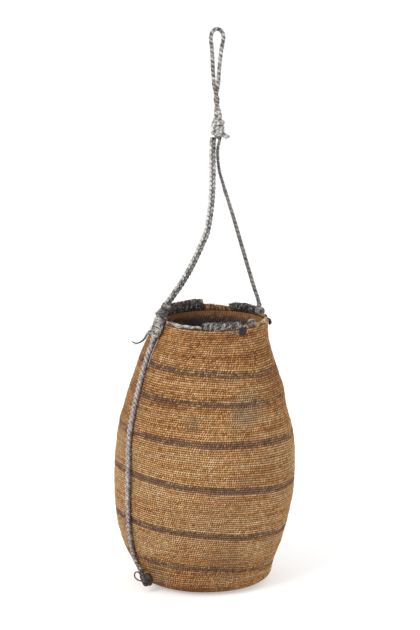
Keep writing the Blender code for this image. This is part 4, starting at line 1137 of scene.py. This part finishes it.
SIDE_SPREAD = (0.00215, 0.0014)
SIDE_PITCH = 0.0175
# Which way the painted shade on the rope's right side lies
SIDE_PAINTED_SHADE_WAY = (1.0, 0.1, -0.2)
# Heights, and how thick the rope is there
SIDE_TAPER = (0.024, 0.06, 0.12), (0.78, 0.94, 1.0)


def off_middle(points, lift=0.3):
    """Directions away from the basket's middle line."""
    flat = points - np.array([0.004, 0, 0])
    flat[:, 2] = lift * np.linalg.norm(flat[:, :2], axis=1)
    return unit(flat)


# The rope's fibre with a lilac cast, darker towards its end
side_fibre = cord_fibre("plaited_lilac_fibre", ("3F3534", "7D706D", "AEA29E", "DAD1CB"), "1E1817", 1.3)
side_line = smooth_route(SIDE_ROPE, 0.0008)
side_out = off_middle(side_line)
side_line = side_line - 0.0005 * side_out
side_shade_way = np.tile(unit(np.array(SIDE_PAINTED_SHADE_WAY)), (len(side_line), 1))
side_height_tone = 0.12 - 0.14 * (1 - np.clip((side_line[:, 2] - 0.03) / 0.16, 0, 1))
side_size = np.interp(side_line[:, 2], *SIDE_TAPER)
# Painted shade on the rope's right side and a little painted light on its left; darker towards the lower end
side_grids = laid_grids(
    side_line, side_out, SIDE_SPREAD, SIDE_PITCH, SIDE_STRAND * side_size, 0.0035,
    [tone + side_height_tone for tone in (0.46, 0.58, 0.52)], True, side_size, (side_shade_way, 0.46, 0.0034),
)
mesh_piece("side_rope_plait", side_grids, side_fibre, "basket", ["side_rope"])
stray_fibres("side_rope_strays", side_line, 0.0031, 150, 17, side_fibre, "basket", 0.0035)


# The left lashing
# Whitish-grey two-ply cord wound round the rope where it comes over the rim, with a darker thread laid
# between its turns and over their right side, and drawn into a lump at the lower end.

TIE_LEFT = (
    (-0.05914, -0.03158, 0.33640), (-0.06045, -0.03338, 0.33369), (-0.06174, -0.03510, 0.33092),
    (-0.06298, -0.03657, 0.32799), (-0.06412, -0.03761, 0.32485),
)
# The lashing's upper turns, round the rope's foot and the lip beside it
TIE_TOP = ((-0.0570, -0.0270, 0.3435), (-0.0580, -0.0295, 0.3400), (-0.05914, -0.03158, 0.33640))
TIE_SIDE_STRAND = (
    (-0.0530, -0.0285, 0.3475), (-0.0527, -0.0335, 0.3430), (-0.0543, -0.0375, 0.3360),
    (-0.0580, -0.0410, 0.3270),
)
TIE_LUMP = np.array((-0.0632, -0.0395, 0.3280))
TIE_LUMP_TURNS = (
    # Tilt, roll, size, radius of the cord and tone
    (20, 40, 0.0036, 0.0015, 0.66),
    (70, -20, 0.0034, 0.0014, 0.5),
    (100, 50, 0.0030, 0.0014, 0.4),
)
RIM_FRAY = ((-0.0610, -0.0060, 0.3450), (-0.0632, -0.0055, 0.3462))

# Pale grey cord, the most scuffed of all, so that light and dark spots mix
lashing_fibre = cord_fibre("wound_pale_cord", ("3C3634", "7F7874", "B7B0AA", "E6E1DA"), "241F1D", 1.8)
tie_line = smooth_route(TIE_LEFT, 0.0006)
top_line = smooth_route(TIE_TOP, 0.0006)
lip_line = rim_line((164, 196), 0.3428, LIP_MIDDLE + 0.0006)
TIE_WINDINGS = (
    # Line, reach, thread, loops, facing, tones, flatness, roughness and seed
    (tie_line, 0.0051, 0.0015, 4, (1, 0, 0), (0.66, 0.38, 0.78), 1.0, 0.12, 70),
    (top_line, 0.0052, 0.0016, 3, (1, 0, 0), (0.66, 0.40, 0.78), 1.0, 0.14, 80),
    (lip_line, 0.0046, 0.0016, 7, UP, (0.50, 0.30, 0.64), 0.95, 0.16, 90),
)
tie_grids = []
for winding in TIE_WINDINGS:
    tie_grids += rough_winding(*winding)
strand = smooth_route(TIE_SIDE_STRAND, 0.0006)
strand_radius = 0.0016 * (1 + uneven(len(strand), 6, 0.2, 75))
tie_grids += twisted_grids(strand, strand_radius, 0.006, (0.16, 0.30), (0.2, -0.9, 0.3))
for tilt, roll, size, radius, tone in TIE_LUMP_TURNS:
    lump = ring_line(TIE_LUMP, (size, size), tilt, roll, cuts=40)
    tie_grids += twisted_grids(lump, radius, 0.0055, (tone, tone + 0.12))
lump_core = smooth_route((TIE_LUMP - (0, 0, 0.002), TIE_LUMP + (0, 0, 0.002)), 0.0005)
tie_grids.append(strand_grid(lump_core, 0.0028, tone=0.3, around=12))
mesh_piece("tie_left_turns", tie_grids, lashing_fibre, "basket", ["tie_left"])
stray_fibres("tie_left_strays", tie_line, 0.0062, 110, 18, lashing_fibre, "basket", 0.0045)
stray_fibres("rim_left_strays", lip_line, 0.0055, 90, 19, lashing_fibre, "basket", 0.0035)
stray_fibres("rim_left_fray", smooth_route(RIM_FRAY, 0.0004), 0.0012, 22, 20, back_fibre, "basket", 0.0028)
foot_grids = rough_winding(
    rope_line[:26], 0.0042, 0.0014, 5, (0.3, -0.9, 0.3), (0.52, 0.32, 0.66), rough=0.12, seed=95
)
mesh_piece("hanger_rope_whipping", foot_grids, lashing_fibre, "hanger")


# The threads on the wall
# A thin two-ply thread that lies beside the side rope, and a loose strand of the rim at the front.

SIDE_THREAD = (
    (-0.05855, -0.03882, 0.32071), (-0.06249, -0.04090, 0.31226), (-0.06744, -0.04348, 0.30040),
    (-0.07153, -0.04674, 0.28683),
)
RIM_STRAND = (
    (0.02912, -0.06695, 0.33669), (0.03334, -0.06605, 0.33466), (0.03758, -0.06470, 0.33296),
    (0.04119, -0.06316, 0.33195),
)
for name, route, radius, pitch, tones, finish in (
    ("side_thread", SIDE_THREAD, 0.00055, 0.003, (0.5, 0.66), whitish_fibre),
    ("loose_rim_strand", RIM_STRAND, 0.00075, 0.004, (0.46, 0.6), front_fibre),
):
    thread_grids = twisted_grids(smooth_route(route, 0.0004), radius, pitch, tones)
    mesh_piece(name + "_twist", thread_grids, finish, "basket", [name])


# The knot of hide at the base
# A dark thong is knotted round the lower end of the side rope, which goes on over the knot's left side.
# A small loop of the thong stands to the left and its end lies along the edge of the base.

BASE_KNOT = np.array((-0.0733, -0.0598, 0.0165))
BASE_TURNS = (
    # Half widths, tilt and roll, where it starts, and radius of the thong
    ((0.0052, 0.0052), 20, 10, 0.0, 0.0020),
    ((0.0056, 0.0054), 75, 20, 0.2, 0.0018),
    ((0.0052, 0.0056), 100, -35, 0.4, 0.0019),
    ((0.0054, 0.0050), 40, 60, 0.1, 0.0020),
    ((0.0060, 0.0046), 120, 15, 0.3, 0.0015),
    ((0.0058, 0.0048), 10, 75, 0.6, 0.0014),
)
BASE_LUMP = (-0.0707, -0.0624, 0.0139)
OVER_KNOT = (
    (-0.0801, -0.0535, 0.0268), (-0.0797, -0.0588, 0.0232), (-0.0786, -0.0642, 0.0189),
    (-0.0762, -0.0666, 0.0138), (-0.0742, -0.0660, 0.0105),
)
# Shares of its length, and how thick the rope's end is there
OVER_TAPER = (0, 0.3, 0.8, 1), (0.78, 0.90, 0.80, 0.45)
THONG = (
    (-0.07887, -0.06122, 0.02194), (-0.08247, -0.06064, 0.02525), (-0.08578, -0.06021, 0.02705),
    (-0.08866, -0.06006, 0.02453), (-0.08815, -0.06021, 0.01978), (-0.08448, -0.06064, 0.01661),
    (-0.08074, -0.06122, 0.01546),
)
THONG_END = (
    (-0.05964, -0.06236, 0.01318), (-0.05739, -0.06438, 0.01318), (-0.05507, -0.06633, 0.01318),
    (-0.05268, -0.06819, 0.01318),
)


def hide(name, shades, dull):
    """Dark, worn hide with a fine grain. Its cells are 1.2 mm wide, and its paler scuffs some 4 mm."""
    material, tree, shader = new_material(name)
    place = add(tree, "TexCoord").outputs["Object"]
    grain = add(tree, "TexVoronoi", {"Vector": place, "Scale": 820.0})
    scuff = add(tree, "TexNoise", {"Vector": place, "Scale": 260.0, "Detail": 4.0})
    bump = add(tree, "Bump", {"Height": grain, "Strength": 0.5, "Distance": 0.0003})
    rough = add(tree, "MapRange", {0: scuff, 3: 0.50 + dull, 4: 0.72 + dull})
    colour = add(tree, "ValToRGB", {0: scuff}, even_stops(shades, 0.34, 0.72))
    tree.links.new(colour.outputs[0], shader.inputs["Base Color"])
    tree.links.new(bump.outputs[0], shader.inputs["Normal"])
    tree.links.new(rough.outputs[0], shader.inputs["Roughness"])
    return material


# Worn brown-black hide, with a dull shine on its edges
dark_hide = hide("knotted_dark_hide", ("1F1817", "5A4A44"), 0.1)
base_grids = []
for sizes, tilt, roll, start, radius in BASE_TURNS:
    line = ring_line(BASE_KNOT, sizes, tilt, roll, start, cuts=40)
    away = unit(line - BASE_KNOT)
    line = line + away * uneven(len(line), 8, 0.0006, round(1000 * radius) + tilt)[:, None]
    thong = radius * (1 + uneven(len(line), 7, 0.25, tilt))
    base_grids.append(strand_grid(line, thong, flat=0.7, facing=away, around=10))
lump = ring_line(BASE_LUMP, (0.0022, 0.0022), 50, 20, cuts=30)
base_grids.append(strand_grid(lump, 0.0024, around=10))
knot_core = smooth_route((BASE_KNOT - (0.001, 0, 0.0035), BASE_KNOT, BASE_KNOT + (0, 0.001, 0.0035)), 0.0008)
base_grids.append(strand_grid(knot_core, 0.0050, around=14))
mesh_piece("base_knot_turns", base_grids, dark_hide, "basket", ["base_knot"])

over_line = smooth_route(OVER_KNOT, 0.0006)
over_size = np.interp(np.linspace(0, 1, len(over_line)), *OVER_TAPER)
over_grids = laid_grids(
    over_line, unit(over_line - BASE_KNOT), (0.0020, 0.0012), 0.0150, 0.00160 * over_size, 0.0030,
    (0.10, 0.24, 0.16), True, over_size,
)
mesh_piece("side_rope_end_plait", over_grids, side_fibre, "basket")

thong_line = smooth_route(THONG, 0.0005)
thong_grid = strand_grid(thong_line, 0.00085, facing=FORWARD, flat=0.7)
mesh_piece("base_thong_loop_strip", [thong_grid], dark_hide, "basket", ["base_thong_loop"])
end_line = smooth_route(THONG_END, 0.0005)
end_radius = 0.0009 * np.linspace(1, 0.6, len(end_line))
end_grid = strand_grid(end_line, end_radius, facing=off_middle(end_line, 0.0), flat=0.7)
mesh_piece("base_thong_end_strip", [end_grid], dark_hide, "basket", ["base_thong_end"])


# The small knot at the front right of the rim
# A ball of grey-lilac thread wound upright over the lip, wider along the rim than it is tall.

RIM_KNOT = np.array((0.0572, -0.0458, 0.3438))
KNOT_TURN = radians(-44.9)
KNOT_REACH = 0.0032
KNOT_HALF_WIDTH = 0.0038

# Faded thread, grey with a lilac cast
ball_fibre = cord_fibre("wound_ball_thread", ("3A3436", "746C70", "9C9397", "C9C2C3"), "1E191A", 1.5)
along_rim = np.array([-sin(KNOT_TURN), cos(KNOT_TURN), 0])
off_rim = np.array([cos(KNOT_TURN), sin(KNOT_TURN), 0])
t = np.linspace(0, 2 * pi, 50)[:, None]
ball_grids = []
# Six upright turns, which lean more and get smaller towards the ends of the knot
for k in range(6):
    lean = radians(-62 + 25 * k)
    size = KNOT_REACH * (1 - 0.28 * abs(sin(lean)) ** 2)
    ring = np.cos(t) * np.array(UP) + np.sin(t) * off_rim
    line = RIM_KNOT + along_rim * KNOT_HALF_WIDTH * sin(lean) + size * ring
    line = line + unit(line - RIM_KNOT) * uneven(len(line), 7, 0.0005, 110 + k)[:, None]
    thread = 0.00115 * (1 + uneven(len(line), 6, 0.3, 120 + k))
    tone = 0.5 + uneven(len(line), 6, 0.35, 130 + k)
    ball_grids += twisted_grids(line, thread, 0.0042, (tone, tone + 0.16), (*along_rim[:2], 0.1))
ball_core = RIM_KNOT + np.linspace(-1, 1, 7)[:, None] * along_rim * 0.0018
ball_grids.append(strand_grid(ball_core, 0.0030, tone=0.3, around=12))
mesh_piece("rim_knot_turns", ball_grids, ball_fibre, "basket", ["rim_knot"])


# The tab below the lip
# A small folded piece of purple-black hide, pressed against the wall beside the small knot. It is a
# little narrower at its foot.

TAB_SPAN = (-62.4, -53.6)
TAB_HEIGHTS = (0.3303, 0.3398)
TAB_ROWS, TAB_COLUMNS = 16, 14
TAB_THICK, TAB_BULGE, TAB_BACK = 0.0006, 0.0020, 0.0002

# Dyed hide, duller than the knot's, nearly black
tab_hide = hide("purple_black_hide", ("1C1218", "3C2A33"), 0.25)
column = np.arange(TAB_COLUMNS)
tab_rings = []
for row in range(TAB_ROWS):
    share = row / (TAB_ROWS - 1)
    narrow = 1 - 0.16 * (1 - share) ** 2 + 0.05 * sin(9 * share)
    middle, half_span = np.mean(TAB_SPAN) + 0.4 * sin(5 * share), (TAB_SPAN[1] - TAB_SPAN[0]) / 2 * narrow
    angles = np.radians(middle + half_span * np.linspace(-1, 1, TAB_COLUMNS))
    bulge = sin(pi * (row + 1) / (TAB_ROWS + 1)) * np.sin(pi * (column + 1) / (TAB_COLUMNS + 1))
    heights = TAB_HEIGHTS[0] + (TAB_HEIGHTS[1] - TAB_HEIGHTS[0]) * share
    heights = heights + 0.0004 * np.sin(3 * column) * (1 - share)
    outer = on_wall(heights, angles, TAB_THICK + TAB_BULGE * bulge)
    inner = on_wall(heights, angles, TAB_BACK)
    tab_rings.append(np.concatenate([outer, inner[::-1]]))
tab_uv = np.zeros((TAB_ROWS - 1, 2 * TAB_COLUMNS, 4, 2))
mesh_piece("leather_tab_fold", [(np.array(tab_rings), tab_uv, 1.0, 0.5)], tab_hide, "basket", ["leather_tab"])


# The cord end outside the rim
# The dark, cut end of a cord, which stands outside the right end of the rim. Its other end goes in under
# the edge cord.

NUB = (
    (0.0800, -0.0013, 0.3321), (0.0806, -0.0013, 0.3333), (0.0806, -0.0012, 0.3363),
    (0.0797, -0.0014, 0.3372),
)
NUB_TAIL = ((0.0801, -0.0016, 0.3370), (0.0786, -0.0030, 0.3392), (0.0764, -0.0050, 0.3398))

# Blackened cord end with little contrast
nub_fibre = cord_fibre("cut_dark_cord", ("211E1F", "3E393A", "5F595A"), "141213")
nub_line = smooth_route(NUB, 0.0004)
nub_grids = twisted_grids(nub_line, 0.0021, 0.009, (0.4, 0.56), FORWARD)
nub_grids += twisted_grids(smooth_route(NUB_TAIL, 0.0004), 0.0012, 0.006, (0.4, 0.6), FORWARD)
mesh_piece("rim_nub_twist", nub_grids, nub_fibre, "basket", ["rim_nub"])
stray_fibres("rim_nub_strays", nub_line, 0.0018, 16, 57, nub_fibre, "basket", 0.002)
